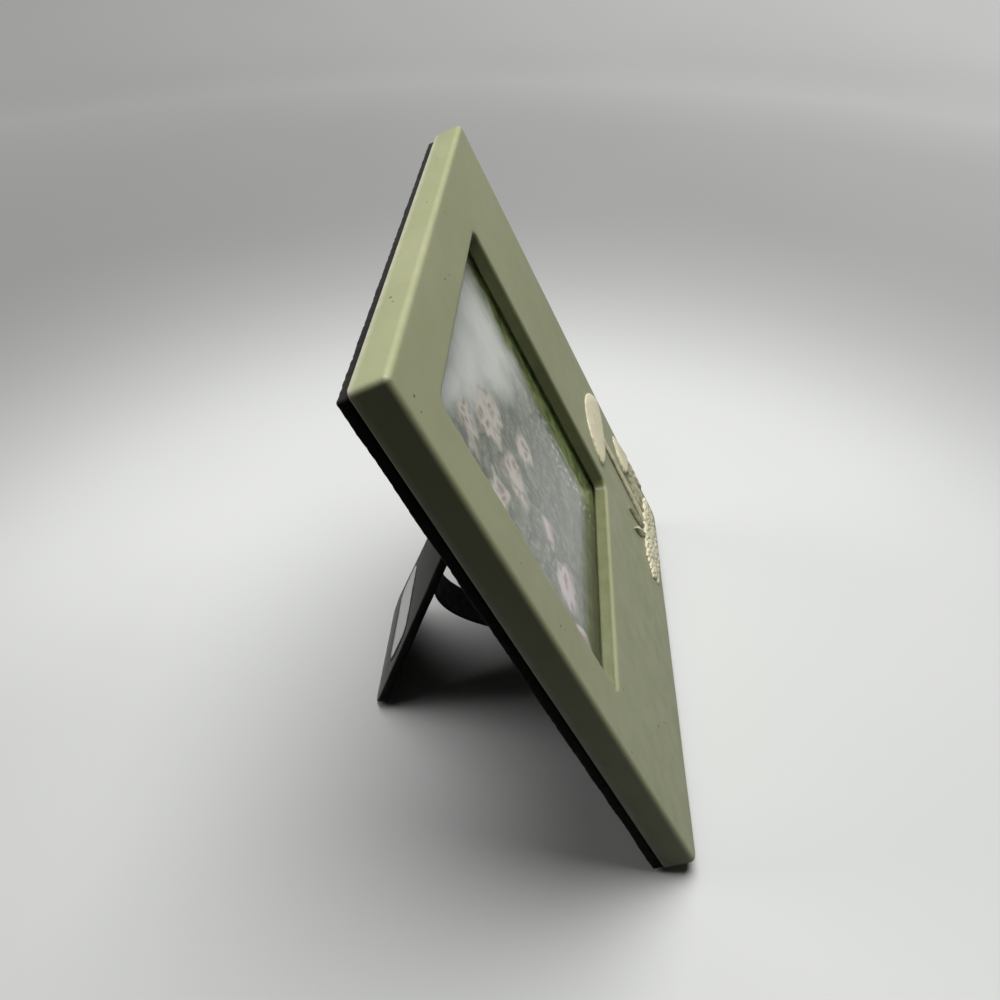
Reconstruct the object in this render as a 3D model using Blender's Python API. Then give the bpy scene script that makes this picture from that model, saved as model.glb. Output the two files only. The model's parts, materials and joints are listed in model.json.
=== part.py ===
"""Ceramic photo frame for a 4 x 4 inch print, leaning back on a hinged easel leg.

Units are metres, +Z is up and the picture faces -Y. The frame is laid out upright in its own
coordinates, which an empty then leans back: X across, Y out of the back, Z up the slope, with
Y = 0 on the ceramic's back face and Z = 0 on its bottom edge. The hinge and the leg are laid out
round the hinge pin with the leg folded flat, and another empty swings the leg open.
"""
import math

import bmesh
import bpy
from mathutils import Vector

MM = 0.001

# Gap between pieces that touch
SEAT_GAP = 0.3 * MM

# Glazed ceramic front
FRAME_WIDTH = 154.0 * MM
FRAME_HEIGHT = 168.0 * MM
CERAMIC_THICKNESS = 9.0 * MM
TOP_CORNER_RADIUS = 1.5 * MM
BOTTOM_CORNER_RADIUS = 4.0 * MM
FRONT_EDGE_RADIUS = 1.6 * MM
BACK_EDGE_RADIUS = 0.5 * MM

# Window through the ceramic, sized at its narrowest
SIGHT_WIDTH = 88.0 * MM
SIGHT_HEIGHT = 93.8 * MM
SIGHT_LEFT = 17.9 * MM
SIGHT_BOTTOM = 56.2 * MM
SIGHT_CORNER_RADIUS = 2.2 * MM
SIGHT_DRAFT = 0.8 * MM
SIGHT_EDGE_RADIUS = 1.2 * MM
LIP_DEPTH = 4.0 * MM

# What the rebate behind the window holds
PRINT_SIDE = 101.6 * MM
PRINT_THICKNESS = 0.3 * MM
GLASS_THICKNESS = 2.0 * MM
REBATE_CLEARANCE = 0.5 * MM

# Velvet-covered board on the back: a fixed rim round a panel that lifts out
BOARD_THICKNESS = 2.7 * MM
BOARD_TOP_INSET = 1.0 * MM
BOARD_BOTTOM_INSET = 2.0 * MM
RIM_WIDTH = 9.5 * MM
PANEL_CLEARANCE = 0.5 * MM

# Turn buttons that hold the panel in, and their screws
BUTTON_THICKNESS = 0.7 * MM
BUTTON_PIVOT_RADIUS = 2.8 * MM
BUTTON_TIP_RADIUS = 2.0 * MM
BUTTON_REACH = 8.6 * MM
BUTTON_EDGE_INSET = 6.2 * MM
BUTTON_END_OFFSET = 34.0 * MM
SCREW_HEAD_RADIUS = 1.8 * MM
SCREW_HEAD_THICKNESS = 0.6 * MM
SCREW_SHANK_RADIUS = 1.0 * MM
SCREW_SLOT_WIDTH = 0.5 * MM
SCREW_SLOT_DEPTH = 0.3 * MM

# Angles of the frame and of the open leg, both measured from upright
FRAME_LEAN = math.radians(26.4)
LEG_LEAN = math.radians(21.0)

# Easel leg
HINGE_HEIGHT = 107.5 * MM
LEG_THICKNESS = 2.7 * MM
LEG_TOP_WIDTH = 28.0 * MM
LEG_FOOT_WIDTH = 48.6 * MM
LEG_TOP_RADIUS = 4.0 * MM
LEG_FOOT_RADIUS = 5.0 * MM
BLIND_HOLE_SKIN = 0.6 * MM

# Pressed steel hinge, its pin and rivets
HINGE_WIDTH = 22.0 * MM
HINGE_LEAF_LENGTH = 12.0 * MM
HINGE_LEAF_THICKNESS = 0.8 * MM
KNUCKLE_RADIUS = 1.9 * MM
KNUCKLE_CLEARANCE = 0.5 * MM
MIDDLE_KNUCKLE_WIDTH = 8.0 * MM
PIN_RADIUS = 0.8 * MM
PIN_HEAD_RADIUS = 1.4 * MM
PIN_HEAD_THICKNESS = 0.6 * MM
RIVET_SPACING = 13.0 * MM
RIVET_HEAD_RADIUS = 1.9 * MM
RIVET_HEAD_THICKNESS = 0.7 * MM
RIVET_SHANK_RADIUS = 0.8 * MM

# Ribbon stay between the panel and the leg, and its tacks
RIBBON_WIDTH = 13.0 * MM
RIBBON_THICKNESS = 0.6 * MM
RIBBON_END_LENGTH = 9.0 * MM
RIBBON_PANEL_HEIGHT = 27.0 * MM
RIBBON_LEG_DISTANCE = 54.0 * MM
RIBBON_PANEL_PULL = 8.0 * MM
RIBBON_LEG_PULL = 29.0 * MM
TACK_HEAD_RADIUS = 2.4 * MM
TACK_HEAD_THICKNESS = 0.8 * MM
TACK_SHANK_RADIUS = 0.7 * MM

# Blank paper sticker on the leg's outer face
STICKER_WIDTH = 33.0 * MM
STICKER_HEIGHT = 16.0 * MM
STICKER_THICKNESS = 0.3 * MM
STICKER_CORNER_RADIUS = 4.0 * MM
STICKER_FOOT_DISTANCE = 22.0 * MM

# Toadstool ornament, placed from the front's lower right corner
LARGE_CAP_WIDTH = 35.5 * MM
LARGE_CAP_CROWN = 10.5 * MM
LARGE_CAP_SAG = 2.8 * MM
LARGE_CAP_CENTRE = (-23.4 * MM, 61.5 * MM)
LARGE_CAP_TILT = math.radians(9.0)
LARGE_CAP_SKEW = 0.0
LARGE_STEM_CENTRE = -23.7 * MM
LARGE_STEM_WIDTH = 3.8 * MM
LARGE_STEM_FLARE = 0.8 * MM
SMALL_CAP_WIDTH = 12.0 * MM
SMALL_CAP_CROWN = 10.0 * MM
SMALL_CAP_SAG = 1.6 * MM
SMALL_CAP_CENTRE = (-10.7 * MM, 35.8 * MM)
SMALL_CAP_TILT = 0.0
SMALL_CAP_SKEW = 0.7
SMALL_STEM_CENTRE = -9.9 * MM
SMALL_STEM_WIDTH = 2.6 * MM
SMALL_STEM_FLARE = 0.4 * MM
CAP_POINT = 1.3
MOUND_WIDTH = 47.0 * MM
MOUND_HEIGHT = 13.6 * MM
MOUND_CENTRE = (-26.8 * MM, 11.2 * MM)
MOUND_SQUARENESS = 0.75
MOUND_LUMPS = 0.04
MOUND_LUMP_COUNT = 9
SPRIG_EDGE = 0.4 * MM
SPRIG_SPACE = 0.6 * MM
CAP_RELIEF = 1.1 * MM
STEM_RELIEF = 0.8 * MM
LEAF_RELIEF = 0.9 * MM
MOUND_RELIEF = 1.2 * MM

# Leaves of the ornament from the same corner: tip, root and width
LEAVES = (
    ((-40.5 * MM, 28.9 * MM), (-33.5 * MM, 19.7 * MM), 3.8 * MM),
    ((-34.3 * MM, 33.3 * MM), (-28.9 * MM, 20.1 * MM), 3.8 * MM),
    ((-17.7 * MM, 31.5 * MM), (-18.9 * MM, 19.7 * MM), 3.0 * MM),
    ((-13.7 * MM, 32.9 * MM), (-14.5 * MM, 19.7 * MM), 3.4 * MM),
    ((-3.9 * MM, 33.6 * MM), (-4.9 * MM, 19.7 * MM), 3.0 * MM),
)

# Steps of a small edge, the front edge, a corner, a round section, a relief and the ribbon
SMALL_EDGE_STEPS = 3
FRONT_EDGE_STEPS = 5
ARC_STEPS = 6
ROUND_STEPS = 20
DOME_STEPS = 4
OUTLINE_STEPS = 12
MOUND_STEPS = 36
RIBBON_STEPS = 24

# How far up its curve a relief's dome is cut flat, and the least angle of a sharp edge
DOME_TOP = math.radians(80.0)
SHARP_EDGE = math.radians(40.0)

# Places that follow from the sizes
WINDOW_CENTRE = (SIGHT_LEFT + SIGHT_WIDTH / 2 - FRAME_WIDTH / 2, SIGHT_BOTTOM + SIGHT_HEIGHT / 2)
BOARD_HEIGHT = FRAME_HEIGHT - BOARD_TOP_INSET - BOARD_BOTTOM_INSET
BOARD_CENTRE = (0.0, BOARD_BOTTOM_INSET + BOARD_HEIGHT / 2)
OPENING_WIDTH = FRAME_WIDTH - 2 * RIM_WIDTH
OPENING_HEIGHT = BOARD_HEIGHT - 2 * RIM_WIDTH
FRONT_Y = -CERAMIC_THICKNESS
LIP_Y = FRONT_Y + LIP_DEPTH
BOARD_Y = SEAT_GAP
BACK_Y = BOARD_Y + BOARD_THICKNESS
HINGE_Y = BACK_Y + SEAT_GAP + KNUCKLE_RADIUS
LEG_OPEN = FRAME_LEAN + LEG_LEAN
LEAF_SEAT_Y = KNUCKLE_RADIUS - HINGE_LEAF_THICKNESS
LEG_OUTER_Y = LEAF_SEAT_Y - SEAT_GAP
LEG_INNER_Y = LEG_OUTER_Y - LEG_THICKNESS
LEG_TOP_Z = -(KNUCKLE_RADIUS + KNUCKLE_CLEARANCE)
RIVET_Z = (KNUCKLE_RADIUS + KNUCKLE_CLEARANCE + HINGE_LEAF_LENGTH) / 2
CUT_MARGIN = 1.0 * MM


def clear_scene():
    for item in list(bpy.data.objects):
        bpy.data.objects.remove(item, do_unlink=True)


def material(name, colour, roughness, metallic=0.0):
    made = bpy.data.materials.get(name)
    if made:
        return made
    made = bpy.data.materials.new(name)
    made.use_nodes = True
    shader = made.node_tree.nodes["Principled BSDF"]
    shader.inputs["Base Color"].default_value = (*colour, 1.0)
    shader.inputs["Roughness"].default_value = roughness
    shader.inputs["Metallic"].default_value = metallic
    made.diffuse_color = (*colour, 1.0)
    return made


def sage_glaze():
    return material("sage_glaze", (0.390, 0.410, 0.235), 0.38)


def cream_glaze():
    return material("cream_glaze", (0.740, 0.690, 0.500), 0.50)


def leaf_glaze():
    return material("leaf_glaze", (0.470, 0.465, 0.285), 0.50)


def clear_glass():
    return material("clear_glass", (0.850, 0.900, 0.880), 0.03)


def photo_paper():
    return material("photo_paper", (0.480, 0.520, 0.450), 0.35)


def grey_card():
    return material("grey_card", (0.360, 0.340, 0.300), 0.90)


def black_velvet():
    return material("black_velvet", (0.014, 0.013, 0.012), 0.95)


def black_ribbon():
    return material("black_ribbon", (0.012, 0.012, 0.013), 0.75)


def black_steel():
    return material("black_steel", (0.045, 0.045, 0.048), 0.40, 0.8)


def nickel_steel():
    return material("nickel_steel", (0.560, 0.550, 0.520), 0.30, 1.0)


def white_paper():
    return material("white_paper", (0.600, 0.610, 0.590), 0.80)


def new_empty(name, location, tilt, parent=None):
    empty = bpy.data.objects.new(name, None)
    empty.location = location
    empty.rotation_euler = (tilt, 0.0, 0.0)
    empty.parent = parent
    bpy.context.scene.collection.objects.link(empty)
    return empty


def new_piece(name, bm, finish, parent, location=(0.0, 0.0, 0.0), turn=0.0):
    """A named object from closed solids, turned about Y, with its faces pointing out."""
    bmesh.ops.recalc_face_normals(bm, faces=bm.faces)
    mesh = bpy.data.meshes.new(name)
    bm.to_mesh(mesh)
    bm.free()
    mesh.shade_smooth()
    mesh.set_sharp_from_angle(angle=SHARP_EDGE)
    mesh.materials.append(finish)
    piece = bpy.data.objects.new(name, mesh)
    piece.location = location
    piece.rotation_euler = (0.0, turn, 0.0)
    piece.parent = parent
    bpy.context.scene.collection.objects.link(piece)
    return piece


def cut(piece, cutter):
    cutter.hide_render = True
    cutter.display_type = "WIRE"
    modifier = piece.modifiers.new(cutter.name, "BOOLEAN")
    modifier.operation = "DIFFERENCE"
    modifier.solver = "EXACT"
    modifier.object = cutter


def arc(centre, radius, start, end, steps):
    points = []
    for step in range(steps + 1):
        angle = start + (end - start) * step / steps
        points.append((centre[0] + radius * math.cos(angle), centre[1] + radius * math.sin(angle)))
    return points


def circle(radius, centre=(0.0, 0.0)):
    last = 2 * math.pi * (1 - 1 / ROUND_STEPS)
    return arc(centre, radius, 0.0, last, ROUND_STEPS - 1)


def rounded_polygon(corners, radii):
    """Outline of an anticlockwise convex polygon, each corner rounded by its own radius."""
    outline = []
    for index, corner in enumerate(corners):
        corner = Vector(corner)
        if radii[index] <= 0.0:
            outline.append(tuple(corner))
            continue
        back = (Vector(corners[index - 1]) - corner).normalized()
        ahead = (Vector(corners[(index + 1) % len(corners)]) - corner).normalized()
        half = back.angle(ahead) / 2
        centre = corner + (back + ahead).normalized() * (radii[index] / math.sin(half))
        start = math.atan2(back.x, -back.y)
        outline += arc(centre, radii[index], start, start + math.pi - 2 * half, ARC_STEPS)
    return outline


def rectangle(width, height, radius=0.0, centre=(0.0, 0.0)):
    left, right = centre[0] - width / 2, centre[0] + width / 2
    low, high = centre[1] - height / 2, centre[1] + height / 2
    corners = ((right, low), (right, high), (left, high), (left, low))
    return rounded_polygon(corners, (radius,) * 4)


def add_loop(bm, outline, place, axis):
    if axis == "X":
        return [bm.verts.new((place, first, second)) for first, second in outline]
    return [bm.verts.new((first, place, second)) for first, second in outline]


def bridge(bm, first, second):
    for index in range(len(first)):
        after = (index + 1) % len(first)
        bm.faces.new((first[index], first[after], second[after], second[index]))


def add_stack(bm, stack, axis="Y"):
    """Closed solid through (outline, place along the axis) sections, filled at both ends."""
    loops = [add_loop(bm, outline, place, axis) for outline, place in stack]
    for first, second in zip(loops, loops[1:]):
        bridge(bm, first, second)
    bm.faces.new(loops[0])
    bm.faces.new(loops[-1])


def solid(stack, axis="Y"):
    bm = bmesh.new()
    add_stack(bm, stack, axis)
    return bm


def plate(outline, front, back):
    return solid(((outline, front), (outline, back)))


def closed_ring(stack):
    """Solid with one hole through it, from (outline, Y) sections that run round its wall."""
    bm = bmesh.new()
    loops = [add_loop(bm, outline, y, "Y") for outline, y in stack]
    for index, loop in enumerate(loops):
        bridge(bm, loops[index - 1], loop)
    return bm


def drill(piece, parent, places, radius, low, high):
    """Cut round holes along Y, placed in the parent's coordinates."""
    bm = bmesh.new()
    for place in places:
        hole = circle(radius, place)
        add_stack(bm, ((hole, low), (hole, high)))
    cut(piece, new_piece(piece.name + "_drill", bm, black_steel(), parent))


def notch(piece, parent, spans):
    """Cut boxes, each given as its low and high corner."""
    bm = bmesh.new()
    for low, high in spans:
        centre = ((low[0] + high[0]) / 2, (low[2] + high[2]) / 2)
        section = rectangle(high[0] - low[0], high[2] - low[2], 0.0, centre)
        add_stack(bm, ((section, low[1]), (section, high[1])))
    cut(piece, new_piece(piece.name + "_notch", bm, black_steel(), parent))


def new_fastener(name, parent, place, head, shank_radius, seat_y, tip_y):
    """Domed head, (radius, thickness), that seats at seat_y, and a shank that ends at tip_y."""
    head_radius, head_thickness = head
    outward = math.copysign(1.0, seat_y - tip_y)
    dome = head_thickness / 2
    body = solid((
        (circle(shank_radius), tip_y),
        (circle(shank_radius), seat_y),
        (circle(head_radius), seat_y),
        (circle(head_radius), seat_y + outward * (head_thickness - dome)),
        (circle(head_radius - dome), seat_y + outward * head_thickness),
    ))
    return new_piece(name, body, nickel_steel(), parent, (place[0], 0.0, place[1]))


def quarter_turn(steps):
    return [math.pi / 2 * step / steps for step in range(steps + 1)]


def back_edge_profile():
    """(inset, Y) points of the eased edge between the ceramic's back and its sides."""
    profile = []
    for angle in quarter_turn(SMALL_EDGE_STEPS):
        inset = BACK_EDGE_RADIUS * (1 - math.sin(angle))
        profile.append((inset, -BACK_EDGE_RADIUS * (1 - math.cos(angle))))
    return profile


def floor_level():
    """Height of the leaning frame's lowest point, on the ceramic or the board behind it."""
    lean_cos, lean_sin = math.cos(FRAME_LEAN), math.sin(FRAME_LEAN)
    bottom = back_edge_profile() + [(BOARD_BOTTOM_INSET, BACK_Y)]
    return min(inset * lean_cos - y * lean_sin for inset, y in bottom)


def outer_outline(inset):
    """The slab's outline pulled in by this much, rounder at its lower corners."""
    right, high = FRAME_WIDTH / 2 - inset, FRAME_HEIGHT - inset
    corners = ((right, inset), (right, high), (-right, high), (-right, inset))
    top = max(TOP_CORNER_RADIUS - inset, SEAT_GAP)
    bottom = max(BOTTOM_CORNER_RADIUS - inset, SEAT_GAP)
    return rounded_polygon(corners, (bottom, top, top, bottom))


def window_outline(outset):
    width, height = SIGHT_WIDTH + 2 * outset, SIGHT_HEIGHT + 2 * outset
    return rectangle(width, height, SIGHT_CORNER_RADIUS + outset, WINDOW_CENTRE)


def make_ceramic(frame):
    stack = [(outer_outline(inset), y) for inset, y in back_edge_profile()]
    for angle in quarter_turn(FRONT_EDGE_STEPS):
        inset = FRONT_EDGE_RADIUS * (1 - math.cos(angle))
        stack.append((outer_outline(inset), FRONT_Y + FRONT_EDGE_RADIUS * (1 - math.sin(angle))))
    for angle in quarter_turn(SMALL_EDGE_STEPS):
        outset = SIGHT_DRAFT + SIGHT_EDGE_RADIUS * (1 - math.sin(angle))
        stack.append((window_outline(outset), FRONT_Y + SIGHT_EDGE_RADIUS * (1 - math.cos(angle))))
    side = PRINT_SIDE + 2 * REBATE_CLEARANCE
    rebate = rectangle(side, side, REBATE_CLEARANCE, WINDOW_CENTRE)
    stack += [(window_outline(0.0), LIP_Y), (rebate, LIP_Y), (rebate, 0.0)]
    new_piece("ceramic_frame", closed_ring(stack), sage_glaze(), frame)


def make_picture(frame):
    """Glass, print and filler card, one behind the other between the lip and the panel."""
    square = rectangle(PRINT_SIDE, PRINT_SIDE, 0.0, WINDOW_CENTRE)
    glass_front = LIP_Y + SEAT_GAP
    print_front = glass_front + GLASS_THICKNESS + SEAT_GAP
    card_front = print_front + PRINT_THICKNESS + SEAT_GAP
    glass = plate(square, glass_front, glass_front + GLASS_THICKNESS)
    paper = plate(square, print_front, print_front + PRINT_THICKNESS)
    new_piece("glass_pane", glass, clear_glass(), frame)
    new_piece("photo_print", paper, photo_paper(), frame)
    new_piece("filler_card", plate(square, card_front, BOARD_Y - SEAT_GAP), grey_card(), frame)


def button_places():
    """Pivot of each turn button on the rim, in from the panel's ends and the frame's sides."""
    x = FRAME_WIDTH / 2 - BUTTON_EDGE_INSET
    low = BOARD_CENTRE[1] - OPENING_HEIGHT / 2 + BUTTON_END_OFFSET
    high = BOARD_CENTRE[1] + OPENING_HEIGHT / 2 - BUTTON_END_OFFSET
    return {
        "left_lower": (-x, low),
        "left_upper": (-x, high),
        "right_lower": (x, low),
        "right_upper": (x, high),
    }


def make_back_rim(frame):
    outer = rectangle(FRAME_WIDTH, BOARD_HEIGHT, 0.0, BOARD_CENTRE)
    inner = rectangle(OPENING_WIDTH, OPENING_HEIGHT, 0.0, BOARD_CENTRE)
    ring = closed_ring(((outer, BOARD_Y), (outer, BACK_Y), (inner, BACK_Y), (inner, BOARD_Y)))
    rim = new_piece("back_rim", ring, black_velvet(), frame)
    low, high = BOARD_Y - CUT_MARGIN, BACK_Y + CUT_MARGIN
    drill(rim, frame, button_places().values(), SCREW_SHANK_RADIUS + SEAT_GAP, low, high)


def panel_tack_place():
    return (0.0, RIBBON_PANEL_HEIGHT + RIBBON_END_LENGTH / 2)


def leg_tack_place():
    return (0.0, RIBBON_END_LENGTH / 2 - RIBBON_LEG_DISTANCE)


def rivet_places(z):
    return ((-RIVET_SPACING / 2, z), (RIVET_SPACING / 2, z))


def make_back_panel(frame):
    width, height = OPENING_WIDTH - 2 * PANEL_CLEARANCE, OPENING_HEIGHT - 2 * PANEL_CLEARANCE
    outline = rectangle(width, height, 0.0, BOARD_CENTRE)
    panel = new_piece("back_panel", plate(outline, BOARD_Y, BACK_Y), black_velvet(), frame)
    holes = (*rivet_places(HINGE_HEIGHT + RIVET_Z), panel_tack_place())
    radius = max(RIVET_SHANK_RADIUS, TACK_SHANK_RADIUS) + SEAT_GAP
    drill(panel, frame, holes, radius, BOARD_Y - CUT_MARGIN, BACK_Y + CUT_MARGIN)


def button_outline():
    """Round pivot end and smaller round tip towards +X, joined by their common tangents."""
    lean = math.acos((BUTTON_PIVOT_RADIUS - BUTTON_TIP_RADIUS) / BUTTON_REACH)
    pivot_end = arc((0.0, 0.0), BUTTON_PIVOT_RADIUS, lean, 2 * math.pi - lean, 2 * ARC_STEPS)
    return pivot_end + arc((BUTTON_REACH, 0.0), BUTTON_TIP_RADIUS, -lean, lean, ARC_STEPS)


def make_turn_buttons(frame):
    front = BACK_Y + SEAT_GAP
    seat = front + BUTTON_THICKNESS + SEAT_GAP
    head = (SCREW_HEAD_RADIUS, SCREW_HEAD_THICKNESS)
    reach = SCREW_HEAD_RADIUS + CUT_MARGIN
    for name, (x, z) in button_places().items():
        turn = math.pi if x > 0.0 else 0.0
        tongue = plate(button_outline(), 0.0, BUTTON_THICKNESS)
        place = (x, front, z)
        button = new_piece("turn_button_" + name, tongue, nickel_steel(), frame, place, turn)
        hole = SCREW_SHANK_RADIUS + SEAT_GAP
        drill(button, button, ((0.0, 0.0),), hole, -CUT_MARGIN, BUTTON_THICKNESS + CUT_MARGIN)
        screw_name, tip = "button_screw_" + name, BOARD_Y + SEAT_GAP
        screw = new_fastener(screw_name, frame, (x, z), head, SCREW_SHANK_RADIUS, seat, tip)
        top = seat + SCREW_HEAD_THICKNESS
        low = (-reach, top - SCREW_SLOT_DEPTH, -SCREW_SLOT_WIDTH / 2)
        high = (reach, top + CUT_MARGIN, SCREW_SLOT_WIDTH / 2)
        notch(screw, screw, ((low, high),))


def leaf_section(side):
    """Knuckle round the pin with its leaf in (Y, Z): side 1 runs down the leg, -1 up the panel."""
    meet = math.acos(-LEAF_SEAT_Y / KNUCKLE_RADIUS)
    knuckle = arc((0.0, 0.0), KNUCKLE_RADIUS, math.pi, 2 * math.pi + meet, 2 * ROUND_STEPS)
    knuckle += [(-LEAF_SEAT_Y, HINGE_LEAF_LENGTH), (-KNUCKLE_RADIUS, HINGE_LEAF_LENGTH)]
    return [(-side * y, -side * z) for y, z in knuckle]


def make_hinge_leaf(name, pivot, side, gaps):
    """A leaf as wide as the hinge, less the spans of X where the other leaf's knuckles sit."""
    section = leaf_section(side)
    body = solid(((section, -HINGE_WIDTH / 2), (section, HINGE_WIDTH / 2)), "X")
    leaf = new_piece(name, body, black_steel(), pivot)
    reach = KNUCKLE_RADIUS + CUT_MARGIN
    edges = (-side * (KNUCKLE_RADIUS + KNUCKLE_CLEARANCE), side * reach)
    spans = []
    for left, right in gaps:
        spans.append(((left, -reach, min(edges)), (right, reach, max(edges))))
    notch(leaf, pivot, spans)
    bore = circle(PIN_RADIUS + SEAT_GAP)
    length = HINGE_WIDTH / 2 + CUT_MARGIN
    cutter = solid(((bore, -length), (bore, length)), "X")
    cut(leaf, new_piece(name + "_bore", cutter, black_steel(), pivot))
    drill(leaf, pivot, rivet_places(-side * RIVET_Z), RIVET_SHANK_RADIUS + SEAT_GAP, -reach, reach)


def make_hinge(seat, swing):
    middle = MIDDLE_KNUCKLE_WIDTH / 2
    end = HINGE_WIDTH / 2 + CUT_MARGIN
    make_hinge_leaf("hinge_leaf_panel", seat, -1, ((-middle - SEAT_GAP, middle + SEAT_GAP),))
    make_hinge_leaf("hinge_leaf_leg", swing, 1, ((-end, -middle), (middle, end)))
    head_start = HINGE_WIDTH / 2 + SEAT_GAP
    head_end = head_start + PIN_HEAD_THICKNESS
    pin = solid((
        (circle(PIN_HEAD_RADIUS), -head_end),
        (circle(PIN_HEAD_RADIUS), -head_start),
        (circle(PIN_RADIUS), -head_start),
        (circle(PIN_RADIUS), head_start),
        (circle(PIN_HEAD_RADIUS), head_start),
        (circle(PIN_HEAD_RADIUS), head_end),
    ), "X")
    new_piece("hinge_pin", pin, black_steel(), seat)


def make_rivets(seat, swing):
    head = (RIVET_HEAD_RADIUS, RIVET_HEAD_THICKNESS)
    rows = (
        ("panel", seat, RIVET_Z, SEAT_GAP - LEAF_SEAT_Y, BOARD_Y + SEAT_GAP - HINGE_Y),
        ("leg", swing, -RIVET_Z, KNUCKLE_RADIUS + SEAT_GAP, LEG_INNER_Y + BLIND_HOLE_SKIN + SEAT_GAP),
    )
    for row, parent, z, seat_y, tip_y in rows:
        for side, place in zip(("left", "right"), rivet_places(z)):
            name = "hinge_rivet_" + row + "_" + side
            new_fastener(name, parent, place, head, RIVET_SHANK_RADIUS, seat_y, tip_y)


def foot_level(y):
    """Z in the leg's coordinates where the floor cuts the open leg, at this depth."""
    pin_height = HINGE_HEIGHT * math.cos(FRAME_LEAN) - HINGE_Y * math.sin(FRAME_LEAN)
    return (floor_level() - pin_height - y * math.sin(LEG_LEAN)) / math.cos(LEG_LEAN)


def leg_outline(foot_z):
    top, foot = LEG_TOP_WIDTH / 2, LEG_FOOT_WIDTH / 2
    corners = ((foot, foot_z), (top, LEG_TOP_Z), (-top, LEG_TOP_Z), (-foot, foot_z))
    radii = (LEG_FOOT_RADIUS, LEG_TOP_RADIUS, LEG_TOP_RADIUS, LEG_FOOT_RADIUS)
    return rounded_polygon(corners, radii)


def make_leg(swing):
    sections = [(leg_outline(foot_level(y)), y) for y in (LEG_INNER_Y, LEG_OUTER_Y)]
    leg = new_piece("easel_leg", solid(sections), black_velvet(), swing)
    outside = LEG_OUTER_Y + CUT_MARGIN
    inside = LEG_INNER_Y - CUT_MARGIN
    rivet_hole, tack_hole = RIVET_SHANK_RADIUS + SEAT_GAP, TACK_SHANK_RADIUS + SEAT_GAP
    drill(leg, swing, rivet_places(-RIVET_Z), rivet_hole, LEG_INNER_Y + BLIND_HOLE_SKIN, outside)
    drill(leg, swing, (leg_tack_place(),), tack_hole, inside, LEG_OUTER_Y - BLIND_HOLE_SKIN)
    sticker_z = foot_level(LEG_OUTER_Y) + STICKER_FOOT_DISTANCE
    outline = rectangle(STICKER_WIDTH, STICKER_HEIGHT, STICKER_CORNER_RADIUS, (0.0, sticker_z))
    front = LEG_OUTER_Y + SEAT_GAP
    new_piece("leg_sticker", plate(outline, front, front + STICKER_THICKNESS), white_paper(), swing)


def leg_to_frame(y, z):
    """(Y, Z) in the frame's coordinates of a point laid out on the folded leg, once it is open."""
    turn_cos, turn_sin = math.cos(LEG_OPEN), math.sin(LEG_OPEN)
    return Vector((HINGE_Y + y * turn_cos - z * turn_sin, HINGE_HEIGHT + y * turn_sin + z * turn_cos))


def ribbon_path():
    """Middle line of the ribbon in (Y, Z): flat on the panel, a slack bight, flat on the leg."""
    panel_y = BACK_Y + SEAT_GAP + RIBBON_THICKNESS / 2
    leg_y = LEG_INNER_Y - SEAT_GAP - RIBBON_THICKNESS / 2
    leave = Vector((panel_y, RIBBON_PANEL_HEIGHT))
    arrive = leg_to_frame(leg_y, -RIBBON_LEG_DISTANCE)
    leave_pull = leave - Vector((0.0, RIBBON_PANEL_PULL))
    arrive_pull = leg_to_frame(leg_y, -RIBBON_LEG_DISTANCE - RIBBON_LEG_PULL)
    path = [Vector((panel_y, RIBBON_PANEL_HEIGHT + RIBBON_END_LENGTH))]
    for step in range(RIBBON_STEPS + 1):
        t = step / RIBBON_STEPS
        u = 1 - t
        bend = leave_pull * (3 * u * u * t) + arrive_pull * (3 * u * t * t)
        path.append(leave * u ** 3 + bend + arrive * t ** 3)
    path.append(leg_to_frame(leg_y, RIBBON_END_LENGTH - RIBBON_LEG_DISTANCE))
    return path


def add_band(bm, path, width, thickness):
    """Flat band across X that follows a path in (Y, Z)."""
    loops = []
    for index, point in enumerate(path):
        along = path[min(index + 1, len(path) - 1)] - path[max(index - 1, 0)]
        normal = Vector((-along.y, along.x)).normalized() * (thickness / 2)
        sides = ((-1, point + normal), (1, point + normal), (1, point - normal), (-1, point - normal))
        loops.append([bm.verts.new((side * width / 2, spot.x, spot.y)) for side, spot in sides])
    for first, second in zip(loops, loops[1:]):
        bridge(bm, first, second)
    bm.faces.new(loops[0])
    bm.faces.new(loops[-1])


def make_ribbon(frame, swing):
    bm = bmesh.new()
    add_band(bm, ribbon_path(), RIBBON_WIDTH, RIBBON_THICKNESS)
    ribbon = new_piece("stay_ribbon", bm, black_ribbon(), frame)
    hole = TACK_SHANK_RADIUS + SEAT_GAP
    low, high = BACK_Y - CUT_MARGIN, BACK_Y + RIBBON_THICKNESS + CUT_MARGIN
    drill(ribbon, frame, (panel_tack_place(),), hole, low, high)
    low, high = LEG_INNER_Y - RIBBON_THICKNESS - CUT_MARGIN, LEG_INNER_Y + CUT_MARGIN
    bm = bmesh.new()
    section = circle(hole, leg_tack_place())
    add_stack(bm, ((section, low), (section, high)))
    cut(ribbon, new_piece("stay_ribbon_leg_hole", bm, black_steel(), swing))
    head = (TACK_HEAD_RADIUS, TACK_HEAD_THICKNESS)
    stand = RIBBON_THICKNESS + 2 * SEAT_GAP
    tacks = (
        ("panel", frame, panel_tack_place(), BACK_Y + stand, BOARD_Y + SEAT_GAP),
        ("leg", swing, leg_tack_place(), LEG_INNER_Y - stand, LEG_OUTER_Y - BLIND_HOLE_SKIN - SEAT_GAP),
    )
    for end, parent, place, seat_y, tip_y in tacks:
        new_fastener("ribbon_tack_" + end, parent, place, head, TACK_SHANK_RADIUS, seat_y, tip_y)


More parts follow.
